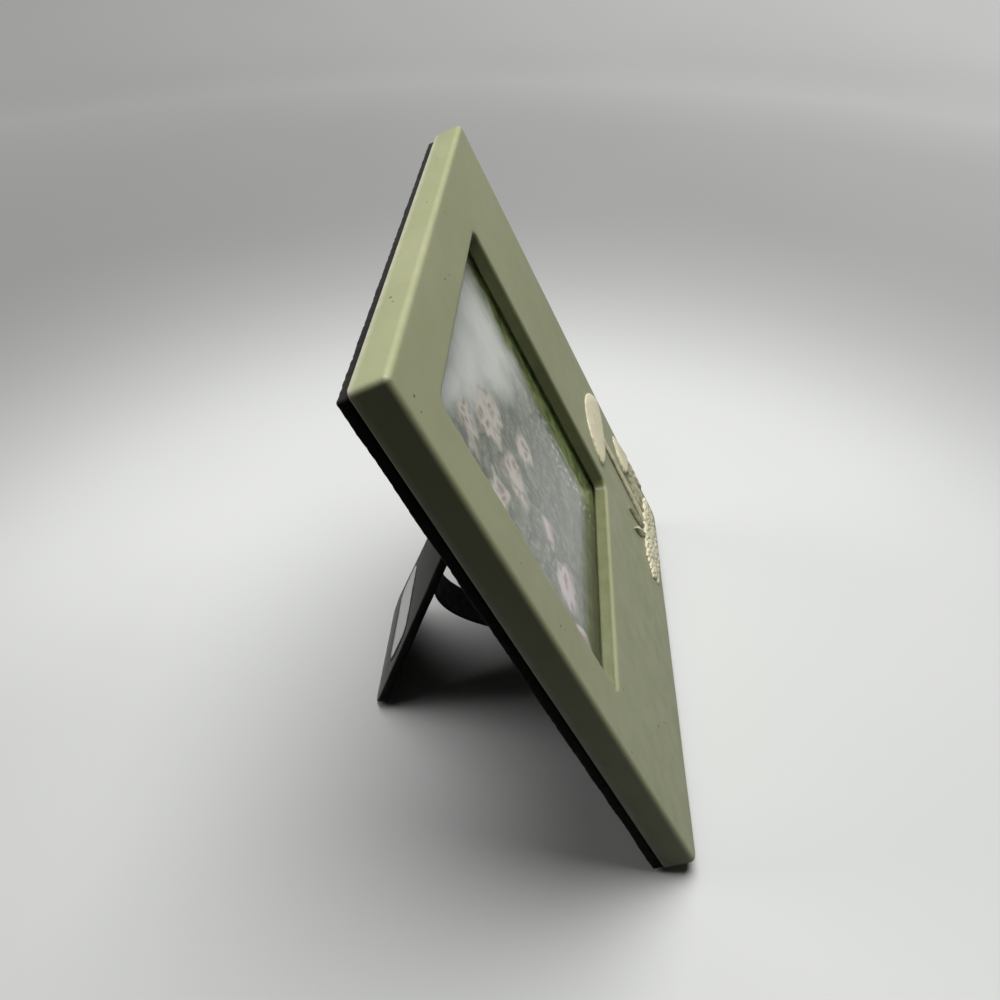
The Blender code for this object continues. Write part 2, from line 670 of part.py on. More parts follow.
def corner_place(place):
    """(X, Z) on the front of a point given from its lower right corner."""
    return (FRAME_WIDTH / 2 + place[0], place[1])


def new_sprig(name, outline, height, finish, frame):
    """Low dome over an outline, with a thin upright edge, on the front face."""
    centre = sum((Vector(point) for point in outline), Vector((0.0, 0.0))) / len(outline)
    seat = FRONT_Y - SEAT_GAP
    stack = [(outline, seat)]
    for ring in range(DOME_STEPS + 1):
        angle = DOME_TOP * ring / DOME_STEPS
        section = [tuple(centre + (Vector(point) - centre) * math.cos(angle)) for point in outline]
        stack.append((section, seat - SPRIG_EDGE - height * math.sin(angle)))
    new_piece(name, solid(stack), finish, frame)


def cap_outline(centre, size, tilt, skew):
    """Toadstool cap from its (width, crown, sag): a pointed crown over a sagging brim."""
    outline = []
    width, crown, sag = size
    x, z = corner_place(centre)
    tilt_cos, tilt_sin = math.cos(tilt), math.sin(tilt)
    for step in range(2 * OUTLINE_STEPS):
        angle = math.pi * step / OUTLINE_STEPS
        across, up = math.cos(angle), math.sin(angle)
        if up >= 0.0:
            across += skew * up ** 2
            rise = crown * up ** CAP_POINT
        else:
            rise = sag * up
        across *= width / 2
        outline.append((x + across * tilt_cos - rise * tilt_sin, z + across * tilt_sin + rise * tilt_cos))
    return outline


def stem_outline(centre_x, width, flare, top_z):
    """Straight stem from just above the mound, wider at its foot."""
    x, _ = corner_place((centre_x, 0.0))
    foot_z = MOUND_CENTRE[1] + MOUND_HEIGHT / 2 * (1 + MOUND_LUMPS) + SPRIG_SPACE
    half, foot = width / 2, width / 2 + flare
    corners = ((x + foot, foot_z), (x + half, top_z), (x - half, top_z), (x - foot, foot_z))
    return rounded_polygon(corners, (half / 2,) * 4)


def leaf_outline(tip, root, width):
    tip, root = Vector(corner_place(tip)), Vector(corner_place(root))
    side = Vector((root.y - tip.y, tip.x - root.x)).normalized() * (width / 2)
    outline = []
    for step in range(OUTLINE_STEPS):
        share = step / OUTLINE_STEPS
        outline.append(tuple(tip.lerp(root, share) + side * math.sin(math.pi * share)))
    for step in range(OUTLINE_STEPS):
        share = 1 - step / OUTLINE_STEPS
        outline.append(tuple(tip.lerp(root, share) - side * math.sin(math.pi * share)))
    return outline


def mound_outline():
    """Squarish oval with a gently lumpy edge."""
    outline = []
    x, z = corner_place(MOUND_CENTRE)
    for step in range(MOUND_STEPS):
        angle = 2 * math.pi * step / MOUND_STEPS
        lump = 1 + MOUND_LUMPS * math.sin(MOUND_LUMP_COUNT * angle)
        across = math.copysign(abs(math.cos(angle)) ** MOUND_SQUARENESS, math.cos(angle)) * lump
        up = math.copysign(abs(math.sin(angle)) ** MOUND_SQUARENESS, math.sin(angle)) * lump
        outline.append((x + across * MOUND_WIDTH / 2, z + up * MOUND_HEIGHT / 2))
    return outline


def make_toadstool(name, frame, cap, stem_x, stem_width, stem_flare):
    """A cap, given as its centre, size, tilt and skew, and the stem up to it."""
    centre, size, tilt, skew = cap
    top_z = centre[1] - size[2] - SPRIG_SPACE
    stem = stem_outline(stem_x, stem_width, stem_flare, top_z)
    outline = cap_outline(centre, size, tilt, skew)
    new_sprig("toadstool_cap_" + name, outline, CAP_RELIEF, cream_glaze(), frame)
    new_sprig("toadstool_stem_" + name, stem, STEM_RELIEF, cream_glaze(), frame)


def make_toadstools(frame):
    large = (LARGE_CAP_WIDTH, LARGE_CAP_CROWN, LARGE_CAP_SAG)
    small = (SMALL_CAP_WIDTH, SMALL_CAP_CROWN, SMALL_CAP_SAG)
    make_toadstool("large", frame, (LARGE_CAP_CENTRE, large, LARGE_CAP_TILT, LARGE_CAP_SKEW),
                   LARGE_STEM_CENTRE, LARGE_STEM_WIDTH, LARGE_STEM_FLARE)
    make_toadstool("small", frame, (SMALL_CAP_CENTRE, small, SMALL_CAP_TILT, SMALL_CAP_SKEW),
                   SMALL_STEM_CENTRE, SMALL_STEM_WIDTH, SMALL_STEM_FLARE)


def make_undergrowth(frame):
    for number, (tip, root, width) in enumerate(LEAVES, 1):
        outline = leaf_outline(tip, root, width)
        new_sprig("toadstool_leaf_%d" % number, outline, LEAF_RELIEF, leaf_glaze(), frame)
    new_sprig("toadstool_mound", mound_outline(), MOUND_RELIEF, cream_glaze(), frame)


def stand_on_floor(frame):
    """Move the whole model so that it stands on Z = 0 with its box centred on the Z axis."""
    bpy.context.view_layer.update()
    graph = bpy.context.evaluated_depsgraph_get()
    places = []
    for piece in bpy.data.objects:
        if piece.type == "MESH" and not piece.hide_render:
            evaluated = piece.evaluated_get(graph)
            mesh = evaluated.to_mesh()
            places += [evaluated.matrix_world @ vertex.co for vertex in mesh.vertices]
            evaluated.to_mesh_clear()
    middle = [(min(values) + max(values)) / 2 for values in zip(*places)]
    lowest = min(place.z for place in places)
    frame.location = (-middle[0], -middle[1], -lowest)


def main():
    clear_scene()
    frame = new_empty("leaning_frame", (0.0, 0.0, 0.0), -FRAME_LEAN)
    seat = new_empty("hinge_seat", (0.0, HINGE_Y, HINGE_HEIGHT), 0.0, frame)
    swing = new_empty("leg_swing", (0.0, HINGE_Y, HINGE_HEIGHT), LEG_OPEN, frame)
    make_ceramic(frame)
    make_toadstools(frame)
    make_undergrowth(frame)
    make_picture(frame)
    make_back_rim(frame)
    make_back_panel(frame)
    make_turn_buttons(frame)
    make_hinge(seat, swing)
    make_rivets(seat, swing)
    make_leg(swing)
    make_ribbon(frame, swing)
    stand_on_floor(frame)


main()
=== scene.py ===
"""Looks of the ceramic photo frame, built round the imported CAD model.

Most pieces are laid out in the leaning frame's own coordinates: X across, Y out of the back, Z up
the slope, with Y = 0 on the ceramic's back and Z = 0 on its bottom edge. The leg's pieces are laid
out round the hinge pin: Y out of the leg's outer face, Z up the leg.
"""
import json
from math import atan2, copysign, cos, exp, pi, radians, sin, sqrt

import bpy
from mathutils import Matrix, Vector, noise


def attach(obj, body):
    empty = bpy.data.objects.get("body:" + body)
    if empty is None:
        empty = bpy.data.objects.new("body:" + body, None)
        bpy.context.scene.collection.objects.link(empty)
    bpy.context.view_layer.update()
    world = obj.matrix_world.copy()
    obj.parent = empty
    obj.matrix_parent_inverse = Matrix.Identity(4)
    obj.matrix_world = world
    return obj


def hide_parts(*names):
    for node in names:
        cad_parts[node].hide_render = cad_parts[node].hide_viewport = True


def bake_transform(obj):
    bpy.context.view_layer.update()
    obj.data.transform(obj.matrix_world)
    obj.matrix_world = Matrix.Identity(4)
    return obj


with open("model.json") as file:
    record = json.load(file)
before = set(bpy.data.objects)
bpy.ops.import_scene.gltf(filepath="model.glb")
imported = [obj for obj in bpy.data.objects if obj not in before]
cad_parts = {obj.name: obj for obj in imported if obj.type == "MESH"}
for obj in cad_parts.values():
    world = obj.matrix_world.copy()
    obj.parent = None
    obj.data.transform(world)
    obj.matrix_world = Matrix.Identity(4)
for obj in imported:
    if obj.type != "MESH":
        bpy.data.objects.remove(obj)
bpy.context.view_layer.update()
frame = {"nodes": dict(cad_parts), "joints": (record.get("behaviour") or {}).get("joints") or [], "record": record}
NODES = frame["nodes"]
MM = 0.001

# Camera, set to the photograph
CAMERA_PLACE = Vector((-0.2245, -0.0020, 0.2405))
CAMERA_YAW = radians(2.89)
CAMERA_PITCH = radians(37.49)
CAMERA_ROLL = radians(0.21)
CAMERA_LENS = 34.31
CAMERA_SENSOR = 36.0

# Sizes repeated from the part's source
FRAME_WIDTH = 154.0 * MM
FRAME_HEIGHT = 168.0 * MM
CERAMIC_THICKNESS = 9.0 * MM
TOP_CORNER_RADIUS = 1.5 * MM
BOTTOM_CORNER_RADIUS = 4.0 * MM
FRONT_EDGE_RADIUS = 1.6 * MM
CORNER_LEAST = 0.4 * MM
BACK_EDGE_RADIUS = 0.5 * MM
WINDOW_LOW = Vector((-59.1 * MM, 56.2 * MM))
WINDOW_HIGH = Vector((28.9 * MM, 150.0 * MM))
WINDOW_CORNER_RADIUS = 2.2 * MM
WINDOW_DRAFT = 0.8 * MM
WINDOW_EDGE_RADIUS = 1.2 * MM
LIP_DEPTH = 4.0 * MM
REBATE_CLEARANCE = 0.5 * MM
REBATE_SIDE = 102.6 * MM
BOARD_FRONT = 0.3 * MM
BOARD_BACK = 3.0 * MM
BOARD_LOW = 2.0 * MM
BOARD_HIGH = 167.0 * MM
RIM_WIDTH = 9.5 * MM
PANEL_CLEARANCE = 0.5 * MM
LEG_LEAN = radians(21.0)
LEG_TOP_WIDTH = 28.0 * MM
LEG_FOOT_WIDTH = 48.6 * MM
LEG_TOP_RADIUS = 4.0 * MM
LEG_FOOT_RADIUS = 5.0 * MM
LEG_INNER = -1.9 * MM
LEG_OUTER = 0.8 * MM
LEG_TOP = -2.4 * MM
STICKER_WIDTH = 33.0 * MM
STICKER_HEIGHT = 16.0 * MM
STICKER_RADIUS = 4.0 * MM
RIBBON_WIDTH = 13.0 * MM
RIBBON_END = 9.0 * MM
RIBBON_PANEL_HEIGHT = 27.0 * MM
RIBBON_LEG_DISTANCE = 54.0 * MM
RIBBON_PANEL_PULL = 8.0 * MM
RIBBON_LEG_PULL = 29.0 * MM
RIBBON_SEAT = 0.3 * MM
RIBBON_THICKNESS = 0.6 * MM


# Coordinates

def mounts():
    return {mount["name"]: Vector(mount["axis"]) for mount in frame["record"]["mounts"]}


FRAME_OUT = mounts()["rim_back_face"].normalized()
FRAME_UP = -mounts()["bottom_face"].normalized()
LEG_OUT = Vector((0.0, cos(LEG_LEAN), sin(LEG_LEAN)))
LEG_UP = Vector((0.0, -sin(LEG_LEAN), cos(LEG_LEAN)))
PIN = Vector(next(joint["pos_m"] for joint in frame["joints"] if joint["name"] == "leg_hinge"))


def axes_matrix(origin, out, up):
    across = Vector((1.0, 0.0, 0.0))
    turn = Matrix((across, out, up)).transposed().to_4x4()
    return Matrix.Translation(origin) @ turn


def frame_origin():
    places = [vertex.co for vertex in NODES["ceramic_frame"].data.vertices]
    out = max(place.dot(FRAME_OUT) for place in places)
    up = min(place.dot(FRAME_UP) for place in places)
    return FRAME_OUT * out + FRAME_UP * up


FRAME_MATRIX = axes_matrix(frame_origin(), FRAME_OUT, FRAME_UP)
LEG_MATRIX = axes_matrix(PIN, LEG_OUT, LEG_UP)


def local_box(node, matrix=FRAME_MATRIX):
    """Lowest and highest corner of a CAD node in the frame's or the leg's coordinates."""
    inverse = matrix.inverted()
    places = [inverse @ vertex.co for vertex in NODES[node].data.vertices]
    low = Vector(min(place[axis] for place in places) for axis in range(3))
    high = Vector(max(place[axis] for place in places) for axis in range(3))
    return low, high


# Mesh helpers

def add_object(name, data):
    made = bpy.data.objects.new(name, data)
    bpy.context.scene.collection.objects.link(made)
    return made


def new_piece(name, places, faces, finish, matrix, body, stands_for, attributes=None):
    """A shaded mesh piece laid out in a body's coordinates, riding on it for its CAD nodes.

    Its mesh is in the model's coordinates; the body's own stay in the attribute "place".
    """
    mesh = bpy.data.meshes.new(name)
    mesh.from_pydata([tuple(matrix @ place) for place in places], [], faces)
    mesh.validate()
    mesh.shade_smooth()
    laid_out = mesh.attributes.new("place", "FLOAT_VECTOR", "POINT")
    laid_out.data.foreach_set("vector", [part for place in places for part in place])
    for key, values in (attributes or {}).items():
        layer = mesh.attributes.new(key, "FLOAT", "POINT")
        layer.data.foreach_set("value", values)
    mesh.materials.append(finish)
    piece = add_object(name, mesh)
    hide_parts(*stands_for)
    if body:
        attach(piece, body)
    return piece


def bridge(faces, first, second, count):
    for index in range(count):
        after = (index + 1) % count
        faces.append((first + index, first + after, second + after, second + index))


def ring_faces(loop_count, count, closed):
    """Faces between loops of the same number of points; the last joins the first if closed."""
    faces = []
    for index in range(loop_count - 1):
        bridge(faces, index * count, (index + 1) * count, count)
    if closed:
        bridge(faces, (loop_count - 1) * count, 0, count)
    return faces


def capped_faces(loop_count, count):
    """Faces of a stack of loops, with one face across either end."""
    last = (loop_count - 1) * count
    ends = [tuple(reversed(range(count))), tuple(range(last, last + count))]
    return ring_faces(loop_count, count, False) + ends


def grid_rim(rows, columns):
    """Indices round the edge of a grid of points."""
    rim = list(range(columns - 1)) + [row * columns + columns - 1 for row in range(rows - 1)]
    rim += [(rows - 1) * columns + step for step in range(columns - 1, 0, -1)]
    return rim + [row * columns for row in range(rows - 1, 0, -1)]


def sheet_faces(rows, columns):
    """Faces of a thin closed sheet: two grids of points, joined round their rims."""
    size = rows * columns
    faces = []
    for row in range(rows - 1):
        for step in range(columns - 1):
            first = row * columns + step
            quad = (first, first + 1, first + columns + 1, first + columns)
            faces.append(quad)
            faces.append(tuple(size + index for index in reversed(quad)))
    rim = grid_rim(rows, columns)
    for index, first in enumerate(rim):
        after = rim[(index + 1) % len(rim)]
        faces.append((after, first, size + first, size + after))
    return faces


def flipped(faces):
    return [tuple(reversed(face)) for face in faces]


def arc(centre, radius, start, end, steps):
    points = []
    for step in range(steps + 1):
        angle = start + (end - start) * step / steps
        points.append(Vector((centre[0] + radius * cos(angle),
                              centre[1] + radius * sin(angle))))
    return points


def spread(first, last, steps):
    """Points between two ends, without the ends themselves."""
    return [first.lerp(last, step / steps) for step in range(1, steps)]


def rounded_box(low, high, low_radius, high_radius, side_steps, corner_steps):
    """Anticlockwise outline in (X, Z) with as many points on every side and corner each time."""
    low_radius, high_radius = max(low_radius, 0.02 * MM), max(high_radius, 0.02 * MM)
    corners = (
        (high.x - low_radius, low.y + low_radius, low_radius),
        (high.x - high_radius, high.y - high_radius, high_radius),
        (low.x + high_radius, high.y - high_radius, high_radius),
        (low.x + low_radius, low.y + low_radius, low_radius),
    )
    outline = []
    for index, (x, z, radius) in enumerate(corners):
        centre = Vector((x, z))
        start = pi / 2 * (index - 1)
        corner = arc(centre, radius, start, start + pi / 2, corner_steps)
        if outline:
            outline += spread(outline[-1], corner[0], side_steps)
        outline += corner
    return outline + spread(outline[-1], outline[0], side_steps)


def quarter(steps):
    return [pi / 2 * step / steps for step in range(steps + 1)]


def loop_at(outline, y):
    return [Vector((point.x, y, point.y)) for point in outline]


def wave(place, size, seed):
    """Smooth noise from -1 to 1 whose lumps are about this size."""
    return noise.noise(place / size + Vector((seed, seed * 1.7, seed * 0.3)))


def face_wave(spot, size, seed, y=0.0):
    """The wave at a spot (X, Z) of the front face."""
    return wave(Vector((spot.x, y, spot.y)), size, seed)


def ridge_normals(loops):
    """Inward direction at every point of a closed stack of closed loops."""
    count = len(loops[0])
    normals = []
    for row, loop in enumerate(loops):
        before, after = loops[row - 1], loops[(row + 1) % len(loops)]
        line = []
        for index in range(count):
            along = loop[(index + 1) % count] - loop[index - 1]
            across = after[index] - before[index]
            line.append(across.cross(along).normalized())
        normals.append(line)
    return normals


# Material helpers

class Look:
    """A material in the making, with the place in which its patterns are laid out.

    The place is in the body's own coordinates, or the object's for the CAD nodes that stay.
    """

    def __init__(self, name, laid_out=True):
        self.material = bpy.data.materials.new(name)
        self.material.use_nodes = True
        self.tree = self.material.node_tree
        self.shader = self.tree.nodes["Principled BSDF"]
        if laid_out:
            self.place = self.node("Attribute", attribute_name="place").outputs["Vector"]
        else:
            self.place = self.node("TexCoord").outputs["Object"]

    def put(self, socket, value):
        """Link a socket to another, or set it to a number, a place or a colour."""
        if isinstance(value, bpy.types.NodeSocket):
            self.tree.links.new(value, socket)
        elif socket.type == "RGBA":
            socket.default_value = (*value, 1.0)
        else:
            socket.default_value = value

    def node(self, kind, inputs=None, **settings):
        made = self.tree.nodes.new("ShaderNode" + kind)
        for key, value in settings.items():
            setattr(made, key, value)
        for socket, value in (inputs or {}).items():
            self.put(made.inputs[socket], value)
        return made

    def finish(self, inputs):
        """Set the shader's sockets and return the material."""
        for socket, value in inputs.items():
            self.put(self.shader.inputs[socket], value)
        return self.material

    def attribute(self, name):
        return self.node("Attribute", attribute_name=name).outputs["Fac"]

    def maths(self, operation, first, second=0.0):
        return self.node("Math", {0: first, 1: second}, operation=operation).outputs["Value"]

    def times(self, first, second):
        return self.maths("MULTIPLY", first, second)

    def vector(self, operation, first, second):
        return self.node("VectorMath", {0: first, 1: second}, operation=operation).outputs["Vector"]

    def distance(self, place, centre):
        return self.node("VectorMath", {0: place, 1: centre}, operation="DISTANCE").outputs["Value"]

    def axes(self, place):
        parts = self.node("SeparateXYZ", {"Vector": place}).outputs
        return parts["X"], parts["Y"], parts["Z"]

    def stretch(self, value, low, high, to_low=0.0, to_high=1.0):
        inputs = {"Value": value, "From Min": low, "From Max": high, "To Min": to_low, "To Max": to_high}
        return self.node("MapRange", inputs, interpolation_type="SMOOTHSTEP").outputs["Result"]

    def noise(self, size, detail=2.0, rough=0.5, place=None):
        """Noise from about 0.3 to 0.7 whose lumps are about this size, in metres."""
        place = self.place if place is None else place
        inputs = {"Vector": place, "Scale": 1.0 / size, "Detail": detail, "Roughness": rough}
        return self.node("TexNoise", inputs).outputs["Fac"]

    def patches(self, size, detail=2.0, low=0.30, high=0.70, to_low=0.0, to_high=1.0, rough=0.5, place=None):
        """Noise stretched from between two of its levels to between two values."""
        return self.stretch(self.noise(size, detail, rough, place), low, high, to_low, to_high)

    def cells(self, size, place=None):
        place = self.place if place is None else place
        return self.node("TexVoronoi", {"Vector": place, "Scale": 1.0 / size}).outputs["Distance"]

    def mix(self, share, first, second):
        return self.node("Mix", {0: share, 6: first, 7: second}, data_type="RGBA").outputs[2]

    def tint(self, colour, share, strength, other):
        """A colour with some of another over it, by a share times a strength."""
        return self.mix(self.times(share, strength), colour, other)

    def bump(self, height, distance, strength=1.0, under=None):
        inputs = {"Height": height, "Distance": distance, "Strength": strength}
        if under is not None:
            inputs["Normal"] = under
        return self.node("Bump", inputs).outputs["Normal"]


# Finishes

# Pinholes in the glaze, in the frame's coordinates, in millimetres: X, Z and radius on the face,
# and X, Y and radius on the top
FACE_PINHOLES = (
    (11.6, 164.3, 0.30), (-12.0, 157.3, 0.28), (-16.8, 158.4, 0.32), (-70.9, 159.6, 0.40),
    (-72.2, 156.5, 0.26), (-46.7, 23.5, 0.42), (-40.0, 16.3, 0.34), (-41.1, 18.2, 0.24),
    (-73.4, 48.3, 0.30), (-55.8, 51.8, 0.28), (-10.7, 53.7, 0.30), (-57.2, 37.6, 0.28),
    (-68.0, 89.1, 0.30), (-69.2, 91.5, 0.34), (-66.3, 72.3, 0.24), (-71.4, 67.4, 0.24),
    (-69.9, 112.9, 0.24), (43.5, 120.5, 0.26), (54.7, 88.6, 0.24), (17.7, 31.0, 0.22),
)
TOP_PINHOLES = ((13.6, -5.4, 0.26), (-40.2, -3.6, 0.34), (-43.0, -4.6, 0.22), (50.0, -4.0, 0.24))
PINHOLES = [(Vector((x * MM, -CERAMIC_THICKNESS, z * MM)), radius) for x, z, radius in FACE_PINHOLES]
PINHOLES += [(Vector((x * MM, y * MM, FRAME_HEIGHT)), radius) for x, y, radius in TOP_PINHOLES]


def sage_glaze():
    look = Look("sage_glaze_look")
    colour = look.mix(look.patches(22 * MM, 3.0, 0.35, 0.65), (0.347, 0.364, 0.202), (0.373, 0.389, 0.225))
    colour = look.tint(colour, look.patches(1.3 * MM, 3.0, 0.35), 0.12, (0.302, 0.325, 0.179))
    # Darker glaze down the window's walls: pooled glaze and painted shade of the recess, fullest on the bottom
    # wall.
    drift = look.patches(5 * MM, 3.0, to_low=0.85)
    colour = look.tint(colour, look.attribute("pool_and_shade"), drift, (0.145, 0.155, 0.064))
    broken = look.patches(4 * MM, to_low=0.55)
    thin = look.times(look.attribute("edge"), broken)
    colour = look.tint(colour, thin, 0.55, (0.465, 0.480, 0.268))
    bare = look.times(look.attribute("bare"), broken)
    colour = look.tint(colour, bare, 0.75, (0.620, 0.600, 0.490))
    speck = look.stretch(look.cells(5.5 * MM), 0.030, 0.060, 1.0, 0.0)
    colour = look.tint(colour, speck, 0.35, (0.180, 0.190, 0.100))
    nearest = None
    for centre, radius in PINHOLES:
        share = look.maths("DIVIDE", look.distance(look.place, centre), radius * MM)
        nearest = share if nearest is None else look.maths("MINIMUM", nearest, share)
    nearest = look.maths("ADD", nearest, look.patches(0.35 * MM, to_low=-0.30, to_high=0.30))
    hole = look.stretch(nearest, 0.55, 1.25, 1.0, 0.0)
    gloss = look.patches(7 * MM, 3.0, to_low=0.34, to_high=0.45)
    peel = look.bump(look.noise(3.0 * MM), 0.05 * MM, 0.5)
    grain = look.bump(look.noise(0.5 * MM), 0.012 * MM, 0.5, peel)
    pit = look.maths("SUBTRACT", 1.0, look.stretch(nearest, 0.2, 1.3, 1.0, 0.0))
    return look.finish({
        "Base Color": look.tint(colour, hole, 0.85, (0.050, 0.052, 0.026)),
        "Roughness": look.maths("MAXIMUM", gloss, look.times(hole, 0.7)),
        "IOR": 1.45,
        "Normal": look.bump(pit, 0.25 * MM, 1.0, grain),
    })


def relief_glaze(name, high_colour, tint, low_colour):
    """Pale glaze on the raised parts, with the sage glaze pooled in the hollows."""
    look = Look(name)
    top = look.mix(look.patches(6 * MM, 3.0, 0.38, 0.62), high_colour, tint)
    top = look.tint(top, look.patches(0.9 * MM, 3.0, 0.42, 0.66), 0.12, low_colour)
    ragged_rim = look.patches(1.6 * MM, 3.0, to_low=-0.25, to_high=0.25)
    pooled = look.stretch(look.maths("ADD", look.attribute("hollow"), ragged_rim), 0.35, 0.80)
    crust = look.bump(look.noise(0.8 * MM, 4.0, 0.65), 0.14 * MM, 0.7)
    return look.finish({
        "Base Color": look.mix(pooled, top, low_colour),
        "Roughness": look.patches(2 * MM, 3.0, to_low=0.42, to_high=0.62),
        "Coat Weight": 0.12,
        "Coat Roughness": 0.30,
        "Normal": look.bump(look.cells(0.45 * MM), 0.05 * MM, 0.4, crust),
    })


def velvet(name, colour, fuzz, fuzz_strength):
    """Flocked paper over board: very dark, with a pale sheen at a low angle."""
    look = Look(name)
    darker = tuple(0.55 * part for part in colour)
    base = look.mix(look.patches(9 * MM, 3.0), darker, colour)
    lint = look.patches(0.5 * MM, 4.0, 0.66, 0.76, rough=0.7)
    pile = look.bump(look.noise(0.35 * MM, 4.0, 0.7), 0.10 * MM, 0.8)
    return look.finish({
        "Base Color": look.tint(base, lint, 0.30, (0.120, 0.112, 0.100)),
        "Roughness": look.patches(3 * MM, to_low=0.86, to_high=0.98),
        "Specular IOR Level": 0.20,
        "Sheen Weight": fuzz_strength,
        "Sheen Roughness": 0.42,
        "Sheen Tint": fuzz,
        "Normal": look.bump(look.noise(5 * MM), 0.25 * MM, 0.35, pile),
    })


def ribbon_cloth():
    """Black grosgrain: ribs across the band and finer threads along it."""
    rib_pitch, thread_pitch = 0.62 * MM, 0.40 * MM
    look = Look("black_ribbon_look")
    rib = look.maths("SINE", look.times(look.attribute("along"), 2 * pi / rib_pitch))
    thread = look.maths("SINE", look.times(look.attribute("across"), 2 * pi / thread_pitch))
    weave = look.stretch(look.maths("ADD", look.times(rib, 0.7), look.times(thread, 0.3)), -1.0, 1.0)
    return look.finish({
        "Base Color": look.mix(weave, (0.008, 0.008, 0.009), (0.030, 0.030, 0.032)),
        "Roughness": look.patches(2 * MM, 3.0, to_low=0.55, to_high=0.75),
        "Sheen Weight": 0.25,
        "Sheen Roughness": 0.35,
        "Normal": look.bump(weave, 0.12 * MM, 0.8),
    })


def metal(name, colour, dull, rough_low, rough_high, scratch_size):
    """Plated or blackened steel with faint tumbling marks, duller in random patches."""
    look = Look(name, laid_out=False)
    stain = look.patches(4 * MM, 4.0, 0.42, rough=0.6)
    lines = look.noise(scratch_size, 3.0, place=look.vector("MULTIPLY", look.place, (1.0, 8.0, 8.0)))
    return look.finish({
        "Base Color": look.mix(stain, colour, dull),
        "Metallic": 1.0,
        "Roughness": look.patches(1.5 * MM, 4.0, to_low=rough_low, to_high=rough_high, rough=0.6),
        "Normal": look.bump(lines, 0.015 * MM, 0.4),
    })


def clear_glass():
    """Clear pane with faint smears; lamps pass through it to the print behind."""
    look = Look("clear_glass_look", laid_out=False)
    upright = look.vector("MULTIPLY", look.place, (1.0, 1.0, 2.6))
    smear = look.patches(14 * MM, 4.0, 0.48, rough=0.6, place=upright)
    passing = look.node("BsdfTransparent", {"Color": (0.97, 0.98, 0.97)})
    path = look.node("LightPath").outputs
    either = look.maths("MAXIMUM", path["Is Shadow Ray"], path["Is Diffuse Ray"])
    mixed = look.node("MixShader", {0: either, 1: look.shader.outputs[0], 2: passing.outputs[0]})
    look.put(look.tree.nodes["Material Output"].inputs["Surface"], mixed.outputs[0])
    return look.finish({
        "Base Color": (0.965, 0.985, 0.975),
        "Roughness": look.stretch(smear, 0.0, 1.0, 0.015, 0.085),
        "Transmission Weight": 1.0,
        "IOR": 1.25,
        "Normal": look.bump(look.noise(0.7 * MM, 3.0, 0.6), 0.003 * MM, 0.15),
    })


def card():
    look = Look("grey_card_look", laid_out=False)
    pulp = look.patches(1.2 * MM, 5.0, 0.35, rough=0.7)
    base = look.mix(pulp, (0.340, 0.310, 0.255), (0.440, 0.410, 0.350))
    lengthwise = look.vector("MULTIPLY", look.place, (1.0, 1.0, 6.0))
    fibre = look.patches(2.5 * MM, 4.0, 0.60, 0.72, place=lengthwise)
    return look.finish({
        "Base Color": look.tint(base, fibre, 0.5, (0.220, 0.200, 0.165)),
        "Roughness": look.stretch(pulp, 0.0, 1.0, 0.84, 0.96),
        "Normal": look.bump(pulp, 0.05 * MM, 0.6),
    })


def sticker_paper():
    """Blank matt label stock, a little grubby towards its rim."""
    look = Look("white_paper_look")
    grain = look.patches(0.8 * MM, 4.0, 0.35, rough=0.6)
    base = look.mix(grain, (0.640, 0.645, 0.625), (0.710, 0.715, 0.690))
    dirt = look.patches(2.2 * MM, 4.0, 0.40, 0.65, rough=0.6)
    grubby = look.times(look.attribute("rim"), dirt)
    return look.finish({
        "Base Color": look.tint(base, grubby, 0.55, (0.250, 0.245, 0.225)),
        "Roughness": look.stretch(grain, 0.0, 1.0, 0.62, 0.78),
        "Normal": look.bump(grain, 0.03 * MM, 0.5),
    })


# Round blossoms of the print, in the frame's coordinates: X, Z and radius in millimetres
DUSTY_BLOSSOMS = (
    (-23.0, 124.0, 10.0),
    (-38.0, 132.0, 8.0),
    (-30.0, 108.0, 8.5),
    (-13.0, 104.0, 6.5),
    (-45.0, 116.0, 6.5),
)
PINK_BLOSSOMS = ((-38.0, 75.0, 8.0), (-48.0, 66.5, 5.0), (-29.0, 87.0, 5.0))
BLOSSOM_Y = -2.4 * MM
SWIRL_SIZE = 12 * MM
SWIRL_REACH = 14 * MM


